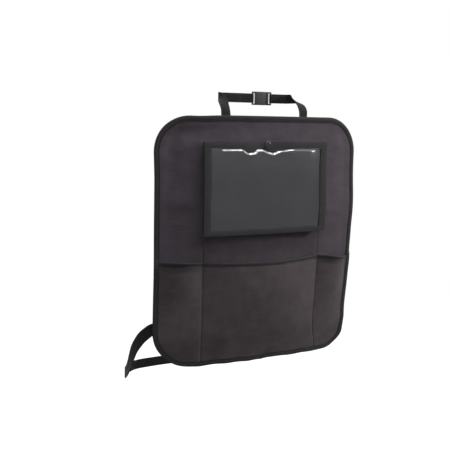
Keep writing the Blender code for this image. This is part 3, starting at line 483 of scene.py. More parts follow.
def ribbed_material(name, colour, rib, pick, depth, edge_shade=0.0):
    """Narrow woven tape or webbing: strong ribs along V and finer picks along U, with painted shade along its
    first edge (the binding's inner edge, the hem's lower edge), where its stitched line sinks.
    """
    made, tree, shader, place = start_material(name)
    parts = add(tree, "SeparateXYZ", {"Vector": add(tree, "UVMap", uv_map="metres").outputs["UV"]})
    ribs = wave_of(tree, parts.outputs["X"], rib)
    picks = wave_of(tree, parts.outputs["Y"], pick)
    fine = noise_of(tree, place, 1300.0, 2.0)
    broad = noise_of(tree, place, 40.0, 3.0)
    height = total(tree, product(tree, ribs, 0.5), product(tree, ribs, picks, 0.35), product(tree, fine, 0.3))
    tone = total(tree, product(tree, broad, 0.7), product(tree, ribs, 0.2))
    dye = shaded_colour(tree, colour, 0.14, tone)
    # Painted shade: towards its first edge the colour falls to 0.35 of itself, standing in for the shadow
    # along the sunken stitched line.
    if edge_shade:
        share = remapped(tree, parts.outputs["Y"], From_Max=edge_shade)
        dye = blended(tree, share, tuple(c * 0.35 for c in colour) + (1.0,), dye)
    set_sockets(shader, {
        "Base Color": dye,
        "Normal": relief(tree, height, depth),
        "Roughness": 0.72,
        "Sheen Weight": 0.03,
        "Sheen Roughness": 0.4,
        "Specular IOR Level": CLOTH_GLOSS,
    })
    return made


def moulded_material(name, colour, roughness, grain=0.00004, metallic=0.0, gloss=0.5):
    """Moulded plastic, enamel or plated metal with a fine grain and uneven gloss."""
    made, tree, shader, place = start_material(name)
    smears = noise_of(tree, place, 120.0, 3.0)
    set_sockets(shader, {
        "Base Color": shaded_colour(tree, colour, 0.12, smears),
        "Normal": relief(tree, noise_of(tree, place, 1600.0, 3.0), grain, 0.8),
        "Roughness": remapped(tree, smears, To_Min=roughness * 0.8, To_Max=roughness * 1.25),
        "Metallic": metallic,
        "Specular IOR Level": gloss,
    })
    return made


WHITE = (1.0, 1.0, 1.0, 1.0)
FILM_HAZE = 0.008


def mixed_surface(tree, factor, low, high):
    return add(tree, "MixShader", {0: factor, 1: low, 2: high}).outputs[0]


def surfaced(made, surface):
    set_sockets(made.node_tree.nodes["Material Output"], {"Surface": surface})
    return made


def film_material(name):
    """Clear vinyl: see-through, with the sharp gloss of its faces and a faint haze."""
    made, tree, shader, place = start_material(name)
    bent = relief(tree, noise_of(tree, place, 24.0, 2.0), 0.0030, 0.8)
    set_sockets(shader, {"Base Color": (0.60, 0.61, 0.64, 1.0), "Roughness": 0.40})
    clear = add(tree, "BsdfTransparent", {"Color": (0.93, 0.94, 0.95, 1.0)})
    gloss = add(tree, "BsdfGlossy", {"Color": WHITE, "Roughness": 0.17, "Normal": bent})
    facing = add(tree, "Fresnel", {"IOR": 1.36, "Normal": bent}).outputs[0]
    shiny = mixed_surface(tree, facing, clear.outputs[0], gloss.outputs[0])
    return surfaced(made, mixed_surface(tree, FILM_HAZE, shiny, shader.outputs[0]))


HEAVY_WEAVE = {"pitch": 0.0011, "depth": 0.00012, "roughness": 0.84, "sheen": 0.06, "spread": 0.26}
FINE_WEAVE = {"pitch": 0.0008, "depth": 0.00008, "roughness": 0.60, "sheen": 0.03, "spread": 0.10}
# The tape's edge_shade is how far across it, in metres, its painted shade by the stitched edge reaches.
TAPE_RIBS = {"rib": 0.0013, "pick": 0.0009, "depth": 0.00014, "edge_shade": 0.0045}
WEBBING_RIBS = {"rib": 0.0017, "pick": 0.0012, "depth": 0.00026}
THREAD = moulded_material("thread", (0.014, 0.013, 0.014), 0.55, 0.00005)
# Each finish is a material and the slot that it belongs to
MAT_CLOTH = (woven_material("mat_cloth", (0.0575, 0.0490, 0.0572), **HEAVY_WEAVE), "mat_fabric")
POCKET_WEAVE = (woven_material("pocket_cloth", (0.0650, 0.0545, 0.0572), **HEAVY_WEAVE), "pocket_fabric")
BORDER_CLOTH = (woven_material("border_cloth", (0.0285, 0.0270, 0.0277), **FINE_WEAVE), "border_fabric")
TAPE = (ribbed_material("binding_tape", (0.0275, 0.0264, 0.0272), **TAPE_RIBS), "binding_tape")
WEBBING = (ribbed_material("webbing", (0.0135, 0.0132, 0.0129), **WEBBING_RIBS), "webbing")
FILM = (film_material("clear_film"), "clear_film")
PLASTIC = (moulded_material("black_plastic", (0.030, 0.030, 0.032), 0.42, gloss=0.30), "black_plastic")
ENAMEL = (moulded_material("snap_enamel", (0.008, 0.008, 0.009), 0.12, 0.00001, gloss=0.36), "snap_enamel")
PLATED = (moulded_material("snap_metal", (0.30, 0.29, 0.28), 0.34, 0.00002, metallic=1.0), "snap_metal")


# Back panel

PANEL_LAYERS = (
    (0.5, 1.0, 1.0, 0.085, 3.1), (0.4, 1.0, 1.0, 0.040, 7.7), (0.25, 2.2, 0.5, 0.050, 9.2),
    (0.22, 0.6, 2.4, 0.036, 12.4),
)
PANEL_WAVE = 0.0022
FREE_EDGE = 0.020
SEAM_GROOVE = 0.0011
SEAM_GROOVE_WIDTH = 0.0020
TROUGH_DEPTH = 0.0034
SEAM_OFFSETS = np.array([0.0, 0.0008, 0.0016, 0.0026, 0.0040, 0.0060])
SEAM_CLEAR = 0.008


def groove(x):
    """1 on the two pocket seams, falling to 0 beside them."""
    return hill(np.abs(x), SEAM_X, SEAM_GROOVE_WIDTH)


def beside_tablet(x, z):
    """0 where the tablet pocket's wall stands on the panel, rising to 1 away from it."""
    beyond = np.maximum(np.abs(x) - HALF_TABLET, TABLET_BOTTOM_Z - z)
    return np.where(z > TABLET_TOP_Z, 1.0, smoothstep(0.002, 0.014, np.abs(beyond)))


def panel_wave(x, z):
    """Soft unevenness of the panel's face, inwards so that nothing sewn to it is pierced."""
    half = half_width_at(z, BINDING_WIDTH)
    inset = np.minimum(half - np.abs(x), HALF_HEIGHT - BINDING_WIDTH - np.abs(z - MAT_Z))
    freedom = smoothstep(0.0, FREE_EDGE, inset) * smoothstep(MOUTH_Z - 0.02, MOUTH_Z + 0.03, z)
    sewn = groove(x) * (1 - smoothstep(TABLET_BOTTOM_Z - 0.002, TABLET_BOTTOM_Z + 0.001, z))
    trough = hill(inset, 0.024, 0.019) * smoothstep(0.08, 0.18, -x)
    trough = trough * (0.25 + 0.75 * smoothstep(-0.24, -0.09, z))
    uneven = PANEL_WAVE * (layered(x, z, PANEL_LAYERS) - 0.40) - TROUGH_DEPTH * trough
    return freedom * beside_tablet(x, z) * uneven - 0.0002 - SEAM_GROOVE * sewn


def corner_rows(inset, end, steps):
    radius = CORNER_RADIUS - inset
    centre = MAT_Z + end * (HALF_HEIGHT - inset - radius)
    angles = np.linspace(math.pi / 2, 0.0, steps + 1)
    return centre + end * radius * np.sin(angles)


def make_panel():
    bottom = corner_rows(CORE_INSET, -1, 18)
    top = corner_rows(CORE_INSET, 1, 18)[::-1]
    heights = np.concatenate([bottom, np.linspace(bottom[-1], top[0], 95)[1:-1], top])
    half = half_width_at(heights, CORE_INSET)
    x = seam_columns(half, 30, 96)
    z = np.broadcast_to(heights[:, None], x.shape)
    piece = sheet_piece("panel_cloth", x, z, panel_wave(x, z), MAT_THICKNESS, MAT_CLOTH, "back_panel")
    half_arc = lengths_along(on_mat(np.linspace(0.0, HALF_WIDTH, 200), MAT_Z, 0.0))


def seam_columns(half, side_count, centre_count):
    """Places across the mat out to each half width, closer together beside the two seams."""
    reach = SEAM_X - SEAM_CLEAR
    evenly = np.linspace(-reach, reach, centre_count)
    centre = np.concatenate([-SEAM_X + SEAM_OFFSETS, evenly, SEAM_X - SEAM_OFFSETS[::-1]])
    start = SEAM_X + SEAM_CLEAR
    side = start + (half[:, None] - start) * np.linspace(0.0, 1.0, side_count + 1)
    near = np.broadcast_to(SEAM_X + SEAM_OFFSETS[1:], (len(half), len(SEAM_OFFSETS) - 1))
    out = np.concatenate([near, side], 1)
    return np.concatenate([-out[:, ::-1], np.broadcast_to(centre, (len(half), len(centre))), out], 1)


# Edge binding

BINDING_STEP = 0.0035
JOIN_X = (-0.040, -0.014)
JOIN_THICKNESS = 0.00075
BINDING_BOW = 0.00030
FOLD_DEPTH = 0.0019
FOLD_REACH = 0.0026
STITCH_DIMPLE = 0.00060
STITCH_INSET = 0.0022


def edge_stack(x, z):
    """Height of the pocket layers under the binding's front leg."""
    mouth = mouth_z(x)
    rise = (HEM_STACK - GAP) * smoothstep(mouth - RISE_START, mouth - RISE_END, z)
    side = (GAP + rise + POCKET_CLOTH) * (1 - smoothstep(mouth + 0.0015, mouth + 0.014, z))
    return np.where(np.abs(x) < SEAM_X, np.where(z < MAT_Z, GAP + POCKET_CLOTH, 0.0), side)


def outline_stations(step):
    """Places and outward directions around the finished outline, from the bottom left corner."""
    flat_x = HALF_WIDTH - CORNER_RADIUS
    flat_z = HALF_HEIGHT - CORNER_RADIUS
    runs = []
    corners = (
        (flat_x, -flat_z, -0.5), (flat_x, flat_z, 0.0), (-flat_x, flat_z, 0.5), (-flat_x, -flat_z, 1.0),
    )
    for index, (cx, cz, quarter) in enumerate(corners):
        before = corners[index - 1]
        start_angle = math.pi * quarter
        out = np.array([math.cos(start_angle), math.sin(start_angle)])
        a = np.array(before[:2]) + out * CORNER_RADIUS
        b = np.array([cx, cz]) + out * CORNER_RADIUS
        count = int(np.linalg.norm(b - a) / step)
        share = np.linspace(0, 1, count, endpoint=False)[1:, None]
        straight = a + (b - a) * share
        runs.append(np.concatenate([straight, np.broadcast_to(out, straight.shape)], 1))
        angles = start_angle + np.linspace(0, math.pi / 2, 26)
        outs = np.stack([np.cos(angles), np.sin(angles)], -1)
        runs.append(np.concatenate([np.array([cx, cz]) + outs * CORNER_RADIUS, outs], 1))
    stations = np.concatenate(runs)
    stations[:, 1] += MAT_Z
    return stations


def join_thickness(stations):
    """The doubled tape where the binding's two ends overlap at the bottom edge."""
    low, high = JOIN_X
    x, z = stations[:, 0], stations[:, 1]
    lap = smoothstep(low - 0.001, low + 0.0005, x) * (1 - smoothstep(high, high + 0.010, x))
    return np.where(z < BOTTOM_Z + 0.02, lap, 0.0)


def make_binding():
    stations = outline_stations(BINDING_STEP)
    x, z, out_x, out_z = stations.T
    doubled = JOIN_THICKNESS * join_thickness(stations)
    top = edge_stack(x, z) + GAP + TAPE_THICKNESS + 0.00022 * waves(x, z, 0.018, 2.2) + doubled
    bottom = -(MAT_THICKNESS + GAP + TAPE_THICKNESS) - 0.0001 * waves(x, z, 0.018, 5.5) - doubled * 0.3
    front = BINDING_WIDTH + 0.00045 * waves(x, z, 0.012, 8.1)
    back = BINDING_WIDTH + 0.0004 * waves(x, z, 0.012, 9.4)
    profile = [
        (front, top - 0.00075), (front - 0.0002, top - 0.0002), (front - 0.0012, top),
        (front - STITCH_INSET, top - STITCH_DIMPLE), (front - 0.0032, top),
        (front * 0.45, top + BINDING_BOW), (FOLD_REACH, top + 0.5 * BINDING_BOW),
    ]
    for angle in np.linspace(0.42, -0.42, 9) * math.pi:
        lift = 0.5 * (top + bottom) + 0.5 * (top - bottom) * math.sin(angle)
        profile.append((FOLD_DEPTH * (1 - math.cos(angle)), lift))
    profile += [
        (FOLD_REACH, bottom), (back * 0.5, bottom - 0.0001), (back - STITCH_INSET, bottom + 0.0002),
        (back - 0.0006, bottom), (back, bottom + 0.0004), (back, bottom + TAPE_THICKNESS),
        (TAPE_THICKNESS, bottom + TAPE_THICKNESS), (TAPE_THICKNESS, top - TAPE_THICKNESS),
        (front, top - TAPE_THICKNESS),
    ]
    rows = [on_mat(x - out_x * inset, z - out_z * inset, lift) for inset, lift in profile]
    along = lengths_along(on_mat(x, z, 0.0), closed=True)
    swept_piece("binding", rows, along, TAPE, "edge_binding", closed=True)
    lines = []
    for reach, lift, rear in ((front, top - STITCH_DIMPLE, False), (back, bottom + 0.0002, True)):
        inset = reach - STITCH_INSET
        line = sewn_line(x - out_x * inset, z - out_z * inset, lift, rear)
        lines.append(tuple(np.concatenate([part, part[:1]]) for part in line))
    stitches("binding_stitches", lines, "binding_tape")


def sewn_line(x, z, lift, back=False):
    """A line of thread on the mat: its points and the direction that its stitches stand out in."""
    points = on_mat(x, z, lift)
    normals = on_mat(x, z, lift + 0.001) - points
    return points, (-normals if back else normals) / 0.001


# Lower pockets

# For each compartment: the power of its swell up the pocket, its rolled lip, its belly and its drawn-in mouth
POCKET_SHAPES = ((2.0, 0.0040, 0.0, 0.0), (1.1, 0.0, 0.0042, 0.0050), (1.5, 0.0032, 0.0030, 0.0015))
POCKET_LAYERS = ((0.6, 1.0, 0.55, 0.050, 11.3), (0.4, 1.2, 0.8, 0.024, 15.9))
POCKET_WAVE = 0.0013
SEAM_PUCKER = 0.00055
PUCKER_PITCH = 0.0135


def compartments(half):
    """Left end, right end and fullness of each compartment."""
    inner = half - BINDING_WIDTH - CORE_INSET
    left = (-inner, -SEAM_X, LEFT_FULLNESS)
    return left, (-SEAM_X, SEAM_X, CENTRE_FULLNESS), (SEAM_X, inner, RIGHT_FULLNESS)


def pocket_swell(x, z, half):
    """How far the pocket cloth stands off the mat: full bays, rolled lips and puckers along the seams."""
    floor_z = BOTTOM_Z + BINDING_WIDTH + CORE_INSET
    rise = np.clip((z - floor_z) / (MOUTH_Z - floor_z), 0.0, 1.05)
    footing = smoothstep(0.0, 0.30, rise)
    below = np.maximum(MOUTH_Z - z, 0.0)
    swell = np.zeros(np.broadcast(x, z).shape)
    for (low, high, depth), (power, lip, belly, tuck) in zip(compartments(half), POCKET_SHAPES):
        arch = np.sin(np.pi * np.clip((x - low) / (high - low), 0.0, 1.0))
        roll = lip * hill(below, 0.0, 0.0085) - lip * 0.75 * hill(below, 0.019, 0.010)
        drawn = belly * hill(below, 0.085, 0.060) - tuck * np.exp(-below / 0.020)
        swell += (depth * rise ** power * footing + drawn) * arch ** 1.02 + roll * arch
        taut = np.exp(-np.minimum(np.abs(x - low), np.abs(x - high)) / 0.011) * arch ** 0.5
        ripple = np.sin(2 * np.pi * z / PUCKER_PITCH + 5.0 * np.sin(z * 31.0) + 40.0 * low)
        swell += SEAM_PUCKER * taut * ripple * smoothstep(0.02, 0.12, rise)
    return np.maximum(swell, 0.0)


def pocket_waves(x, z, half):
    """Broad slackness of the pocket cloth, none at its seams and edges."""
    bays = [np.clip((x - low) / (high - low), 0.0, 1.0) for low, high, _ in compartments(half)]
    rise = smoothstep(BOTTOM_Z + 0.02, BOTTOM_Z + 0.07, z)
    return POCKET_WAVE * sum(np.sin(np.pi * bay) for bay in bays) * rise * layered(x, z, POCKET_LAYERS)


def pocket_lift(x, z, half):
    seat = GAP + (HEM_STACK - GAP) * smoothstep(MOUTH_Z - RISE_START, MOUTH_Z - RISE_END, z)
    sewn = groove(x) * (1 - smoothstep(MOUTH_Z - 0.012, MOUTH_Z - HEM_WIDTH, z))
    return seat + np.maximum(pocket_swell(x, z, half) + pocket_waves(x, z, half), 0.0) - SEAM_GROOVE * sewn


def sagged(x, z):
    drop = MOUTH_Z - mouth_z(x)
    return z - drop * ((z - BOTTOM_Z) / MOUTH_HEIGHT) ** 2


def pocket_columns(half):
    inner = seam_columns(half - BINDING_WIDTH, 36, 110)
    return np.concatenate([-half[:, None], inner, half[:, None]], 1)


def make_pocket():
    inset = CORE_INSET + GAP
    bottom = corner_rows(inset, -1, 16)
    lip_z = MOUTH_Z - 0.03
    middle = np.linspace(bottom[-1], lip_z, 42)[1:]
    heights = np.concatenate([bottom, middle, np.linspace(lip_z, MOUTH_Z, 22)[1:]])
    half = half_width_at(heights, inset)
    x = pocket_columns(half)
    z = np.broadcast_to(heights[:, None], x.shape)
    lift = pocket_lift(x, z, half[:, None]) + POCKET_CLOTH
    piece = sheet_piece("pocket_cloth", x, sagged(x, z), lift, POCKET_CLOTH, POCKET_WEAVE, "lower_pocket", z)
    mouth = on_mat(x[-1], sagged(x[-1], z[-1]), lift[-1])
    lines = []
    level = np.linspace(BOTTOM_Z + BINDING_WIDTH, MOUTH_Z - HEM_WIDTH, 60)
    above = np.linspace(MOUTH_Z + 0.001, TABLET_BOTTOM_Z - 0.001, 24)
    for seam in (-SEAM_X, SEAM_X):
        thread_lift = pocket_lift(seam, level, half_width_at(level, inset)) + POCKET_CLOTH + 0.0001
        lines.append(sewn_line(seam, sagged(seam, level), thread_lift))
        lines.append(sewn_line(seam, above, panel_wave(seam, above)))
    stitches("pocket_stitches", lines, "pocket_fabric")


def hem_width(x):
    """Height of the hem's front leg, which droops over the left pocket."""
    share = np.clip((x + HALF_WIDTH - BINDING_WIDTH) / DROOP_SPAN, 0.0, 1.0)
    return HEM_WIDTH + HEM_DROOP * np.sin(np.pi * share) ** 1.3


def make_hem():
    half = np.array([half_width_at(MOUTH_Z, CORE_INSET + GAP)])
    reach = HALF_WIDTH - BINDING_WIDTH - GAP
    columns = pocket_columns(half)[0]
    x = np.concatenate([[-reach], columns[np.abs(columns) < reach], [reach]])
    height = hem_width(x)
    low = MOUTH_Z - height + 0.0004 * waves(x, 4.4 * 0.013, 0.013, 0.0)
    sewn = MOUTH_Z - height + 0.0016
    middle = MOUTH_Z - height * 0.5
    edge = np.full_like(x, MOUTH_Z)
    outer = GAP + TAPE_THICKNESS
    low_back, top_back = pocket_lift(x, low, half), pocket_lift(x, edge, half)
    low_front, top_front = low_back + POCKET_CLOTH, top_back + POCKET_CLOTH
    thread_lift = pocket_lift(x, sewn, half) + POCKET_CLOTH + outer - 0.0002
    section = [
        (low, low_front + outer - 0.0005), (low + 0.0003, low_front + outer), (sewn, thread_lift),
        (middle, pocket_lift(x, middle, half) + POCKET_CLOTH + outer + 0.0002), (edge, top_front + outer),
        (edge + 0.0007, top_front + outer - 0.0004), (edge + outer, top_front), (edge + outer, top_back),
        (edge + 0.0007, top_back - outer + 0.0004), (edge, top_back - outer), (low, low_back - outer),
        (low, low_back - GAP), (edge + GAP, top_back - GAP), (edge + GAP, top_front + GAP),
        (low, low_front + GAP),
    ]
    rows = [on_mat(x, sagged(x, z), lift) for z, lift in section]
    swept_piece("hem", rows, lengths_along(rows[3]), TAPE, "pocket_hem")
    stitches("hem_stitches", [sewn_line(x, sagged(x, sewn), thread_lift)], "binding_tape")


# Tablet pocket

WALL_BEND = 0.006
WALL_HOLLOW = 0.0011
WALL_SLACK = 0.0007


def tablet_lift(x, z):
    lift = STANDOFF + STANDOFF_GAIN * (x / HALF_TABLET) ** 2
    reach = smoothstep(SNAP_Z - PUCKER_DEPTH, TABLET_TOP_Z - BAND_HEIGHT, z)
    return lift - (STANDOFF - SNAP_STACK) * reach * hill(x, 0.0, PUCKER_WIDTH)


def make_wall():
    side = HALF_TABLET - WALL_INSET
    bottom = TABLET_BOTTOM_Z + WALL_INSET
    down = np.linspace(TABLET_TOP_Z - WALL_INSET, bottom + WALL_BEND, 60)
    turn = np.linspace(math.pi, 1.5 * math.pi, 9)[1:-1]
    cos, sin = np.cos(turn), np.sin(turn)
    across = np.linspace(-side + WALL_BEND, side - WALL_BEND, 110)
    leg = np.stack([np.full_like(down, -side), down, np.full_like(down, -1), 0 * down], -1)
    corner = np.stack([-side + WALL_BEND * (1 + cos), bottom + WALL_BEND * (1 + sin), cos, sin], -1)
    base = np.stack([across, np.full_like(across, bottom), 0 * across, np.full_like(across, -1)], -1)
    left = np.concatenate([leg, corner])
    x, z, out_x, out_z = np.concatenate([left, base, left[::-1] * (-1, 1, -1, 1)]).T
    hollow = WALL_HOLLOW + WALL_SLACK * waves(x, z, 0.022, 21.0)
    shares = np.linspace(0.0, 1.0, 7)
    rows = []
    for depth, order in ((0.0, shares), (WALL_THICKNESS, shares[::-1])):
        for share in order:
            sink = depth + hollow * math.sin(math.pi * share)
            px, pz = x - out_x * sink, z - out_z * sink
            height = tablet_lift(px, pz) if depth else tablet_lift(x, z)
            rows.append(on_mat(px, pz, GAP + (height - 2 * GAP) * share))
    swept_piece("pocket_wall", rows, lengths_along(rows[0]), BORDER_CLOTH, "tablet_wall")


# Section of the padded strips: (share of the way from the outer edge, share of the thickness)
STRIP_SECTION = (
    (0.00, 0.55), (0.008, 0.9), (0.05, 1.0), (0.12, 0.86), (0.19, 1.03), (0.35, 1.12), (0.50, 1.15),
    (0.65, 1.12), (0.81, 1.03), (0.88, 0.86), (0.95, 1.0), (0.992, 0.9), (1.00, 0.55), (1.0, 0.0), (0.5, 0.0),
    (0.0, 0.0),
)
STRIP_CREST = 6
STITCH_SHARES = (0.12, 0.88)
STITCH_LEVEL = 0.88
SNAP_CLEAR = 0.009


def tablet_strip(name, outer, inner, swell, sample, node):
    """A padded strip of the tablet pocket between edges of (x, z) places; gives its two rows of thread."""
    rows = []
    for share, height in STRIP_SECTION:
        x, z = (outer + (inner - outer) * share).T
        rows.append(on_mat(x, z, tablet_lift(x, z) + BORDER_THICKNESS * height + swell * (height > 0)))
    swept_piece(name, rows, lengths_along(rows[STRIP_CREST]), BORDER_CLOTH, node, sample)
    threads = []
    for share in STITCH_SHARES:
        x, z = (outer + (inner - outer) * share).T
        threads.append((x, z, tablet_lift(x, z) + BORDER_THICKNESS * STITCH_LEVEL + swell))
    return threads


def border_edges():
    """Outer and inner edge places of the border, down the left, along the bottom and up the right."""
    share = np.linspace(0.0, 1.0, 56)[:, None]
    across = np.linspace(-1.0, 1.0, 110)[1:-1, None]
    side_top = TABLET_TOP_Z - BAND_HEIGHT - GAP
    edges = []
    for width, rise in ((0.0, 0.0), (BORDER_WIDTH, BORDER_FOOT)):
        edge_x, foot = HALF_TABLET - width, TABLET_BOTTOM_Z + rise
        left = np.array((-edge_x, side_top)) + np.array((0.0, foot - side_top)) * share
        low = np.array((0.0, foot)) + np.array((edge_x, 0.0)) * across
        edges.append(np.concatenate([left, low, left[::-1] * (-1, 1)]))
    return edges


# Notches in the border's inner edge: (height, side, depth)
NOTCHES = ((-0.2380, -1, -0.0026), (-0.2235, -1, -0.0016), (-0.2360, 1, -0.0020))
NOTCH_SPREAD = 0.0032
BORDER_SAMPLE = 30


def make_border():
    outer, inner = border_edges()
    away = unit(inner - outer)
    x, z = inner.T
    low_edge = z < TABLET_BOTTOM_Z + BORDER_FOOT + 0.001
    puckers = np.where(low_edge, 0.0008, 0.0003) * np.maximum(waves(x, z, 0.0065, 37.0), 0.0)
    reach = 0.0005 * waves(x, z, 0.016, 31.0) + puckers
    for height, side, depth in NOTCHES:
        reach = reach + depth * hill(z, height, NOTCH_SPREAD) * (np.sign(x) == side) * (~low_edge)
    swell = 0.00018 * waves(*outer.T, 0.02, 41.0)
    inner = inner + away * reach[:, None]
    threads = tablet_strip("window_border", outer, inner, swell, BORDER_SAMPLE, "tablet_border")
    return [sewn_line(*thread) for thread in threads]


# Lobes of the band's lower edge: (place, spread, depth)
LOBES = ((-0.0400, 0.0135, 0.0080), (0.0080, 0.0125, 0.0058), (0.0260, 0.0170, 0.0034))


def band_foot(x):
    """Lower edge of the mouth band, which droops in lobes beside the snap."""
    foot = np.full(np.shape(x), TABLET_TOP_Z - BAND_HEIGHT)
    for middle, spread, depth in LOBES:
        foot = foot - depth * np.exp(-((x - middle) / spread) ** 4)
    return foot


def make_band():
    x = np.linspace(-HALF_TABLET, HALF_TABLET, 221)
    crest = TABLET_TOP_Z + 0.0004 * waves(x, 0 * x, 0.03, 51.0)
    outer, inner = np.stack([x, crest], -1), np.stack([x, band_foot(x)], -1)
    lines = []
    threads = tablet_strip("mouth_band", outer, inner, 0.0, 0, "tablet_mouth_band")
    for (x, z, lift), clear in zip(threads, (SNAP_CLEAR, 0.0)):
        for part in (x < 0, x >= 0):
            chosen = part & (np.abs(x) > clear)
            lines.append(sewn_line(x[chosen], z[chosen], lift[chosen]))
    return lines


LIP_HEIGHT = 0.0058
# Creases of the film below the snap: (lean, place)
CREASES = ((0.55, -0.018), (-0.60, 0.016), (1.3, -0.034), (-1.35, 0.034))
CREASE_HEIGHT = 0.0007
FILM_LAYERS = ((0.0007, 1.0, 1.0, 0.060, 61.0), (0.0004, 1.0, 1.0, 0.028, 67.0))


def film_relief(x, z):
    """Rolls and puckers of the film inside its opening: proud below the band, slack in broad waves."""
    half = HALF_TABLET - BORDER_WIDTH
    top = TABLET_TOP_Z - BAND_HEIGHT
    bottom = TABLET_BOTTOM_Z + BORDER_FOOT
    inset = np.minimum(half - np.abs(x), np.minimum(top - z, z - bottom))
    below = np.maximum(band_foot(x) - z, 0.0)
    lip = LIP_HEIGHT * smoothstep(0.0, 0.0090, below) * np.exp(-below / 0.030)
    lip = lip * smoothstep(0.0, 0.030, half - np.abs(x))
    creases = sum(hill(x - place - lean * below, 0.0, 0.006) for lean, place in CREASES)
    creases = CREASE_HEIGHT * creases * np.exp(-below / 0.035)
    return lip + smoothstep(0.0, 0.014, inset) * (creases + layered(x, z, FILM_LAYERS))


def make_window():
    half = HALF_TABLET - BORDER_WIDTH + WINDOW_OVERLAP
    bottom = TABLET_BOTTOM_Z + BORDER_FOOT - WINDOW_OVERLAP
    top = TABLET_TOP_Z - BAND_HEIGHT + WINDOW_TUCK
    x, z = np.meshgrid(np.linspace(-half, half, 171), np.linspace(bottom, top, 131))
    lift = tablet_lift(x, z) - GAP + film_relief(x, z)
    sheet_piece("window_film", x, z, lift, WINDOW_THICKNESS, FILM, "tablet_window")


# Sections of the snap's parts: (radius, height)
SNAP_RADIUS = 0.0073
SNAP_CROWN = 0.0030
SNAP_RIM = 0.0008
CAP_FOOT = ((0, -0.0027), (0.0018, -0.0027), (0.0018, 0.0), (0.006716, 0.0), (0.0071905, 0.0003))
SOCKET_SECTION = (
    (0.0031, 0.0), (0.0046, 0.0), (0.0051, 0.0005), (0.0052, 0.0009), (0.0052, 0.0030), (0.0050, 0.0035),
    (0.0046, 0.0036), (0.0021, 0.0036), (0.0021, 0.00282), (0.0031, 0.00282),
)
STUD_SECTION = (
    (0.0021, 0.0), (0.0052, 0.0), (0.0055, 0.0003), (0.0055, 0.0008), (0.0052, 0.0010), (0.0028, 0.0010),
    (0.0024, 0.0014), (0.0024, 0.0022), (0.0028, 0.0028), (0.0027, 0.0033), (0.0023, 0.0035),
    (0.0021, 0.0035),
)
POST_SECTION = (
    (0, 0.0), (0.0034, 0.0), (0.0047, 0.0003), (0.0054, 0.0007), (0.0055, 0.0010), (0.0018, 0.0010),
    (0.0018, 0.0056), (0, 0.0056),
)


def make_snap():
    base = on_mat(0.0, SNAP_Z, 0.0)
    outward = on_mat(0.0, SNAP_Z, 1.0) - base
    cap = list(CAP_FOOT) + [(SNAP_RADIUS, SNAP_RIM)]
    for angle in np.linspace(0.08, 0.5, 12)[:-1] * math.pi:
        height = SNAP_RIM + (SNAP_CROWN - SNAP_RIM) * math.sin(angle)
        cap.append((SNAP_RADIUS * math.cos(angle) ** 0.75, height))
    cap.append((0, SNAP_CROWN))
    cap_lift = SNAP_STACK + BORDER_THICKNESS * 1.1 + GAP
    for name, section, lift, finish, node in (
        ("snap_dome", cap, cap_lift, ENAMEL, "snap_cap"),
        ("snap_spring", SOCKET_SECTION, 0.0016, PLATED, "snap_socket"),
        ("snap_knob", STUD_SECTION, GAP, PLATED, "snap_stud"),
        ("snap_rivet", POST_SECTION, -(MAT_THICKNESS + GAP + 0.0010), PLATED, "snap_post"),
    ):
        turned_piece(name, section, base + outward * lift, outward, finish, node)


# Webbing and buckles

HEADREST_STRAP_WIDTH = 0.0205
SEAT_STRAP_WIDTH = 0.025
STRAP_THICKNESS = 0.0013
STRAP_SEWN_LENGTH = 0.035
HEADREST_STRAP_X = 0.0925
HEADREST_STRAP_SHIFT = 0.0019
POST_SPACING = 0.153
POST_DIAMETER = 0.012
POST_CLEARANCE = 0.003
TAIL_SEWN = 0.028
HEADREST_TAIL = 0.014
SEAT_TAIL = 0.055
BAR_APPROACH = 0.010
TAIL_START = 0.014
HEADREST_BUCKLE_X = 0.022
SEAT_STRAP_DROP = 0.450
SEAT_LOOP_DEPTH = 0.225
SEAT_LOOP_DROP = 0.684
SEAT_STRAP_SEWN = ((1.5, 0.001, 0.0), (1.1, 0.003, 0.0), (0.7, 0.006, 0.0001), (0.35, 0.010, 0.0014))
SEAT_STRAP_LEAVES = 0.017
# Upper webbing from the mat's top edge to each post: (share of the way in, share of the depth that is
# left, share of the fall that is left) and the direction of its width, with +X outwards
LEFT_RISE = (
    ((0.08, 0.934, 0.672), (-1.0, 0.0, 0.02)),
    ((0.06, 0.790, 0.423), (-0.99, -0.02, 0.12)),
    ((0.66, 0.521, 0.199), (-0.86, -0.10, 0.48)),
    ((1.08, 0.233, 0.050), (-0.50, -0.04, 0.86)),
    ((1.04, 0.090, 0.008), (-0.16, 0.0, 0.98)),
)
RIGHT_RISE = (
    ((0.02, 0.937, 0.660), (-1.0, 0.0, 0.02)),
    ((0.00, 0.757, 0.400), (-0.99, -0.02, 0.10)),
    ((0.12, 0.523, 0.212), (-0.95, -0.06, 0.30)),
    ((0.51, 0.270, 0.087), (-0.74, -0.04, 0.67)),
    ((0.92, 0.090, 0.010), (-0.25, 0.0, 0.96)),
)

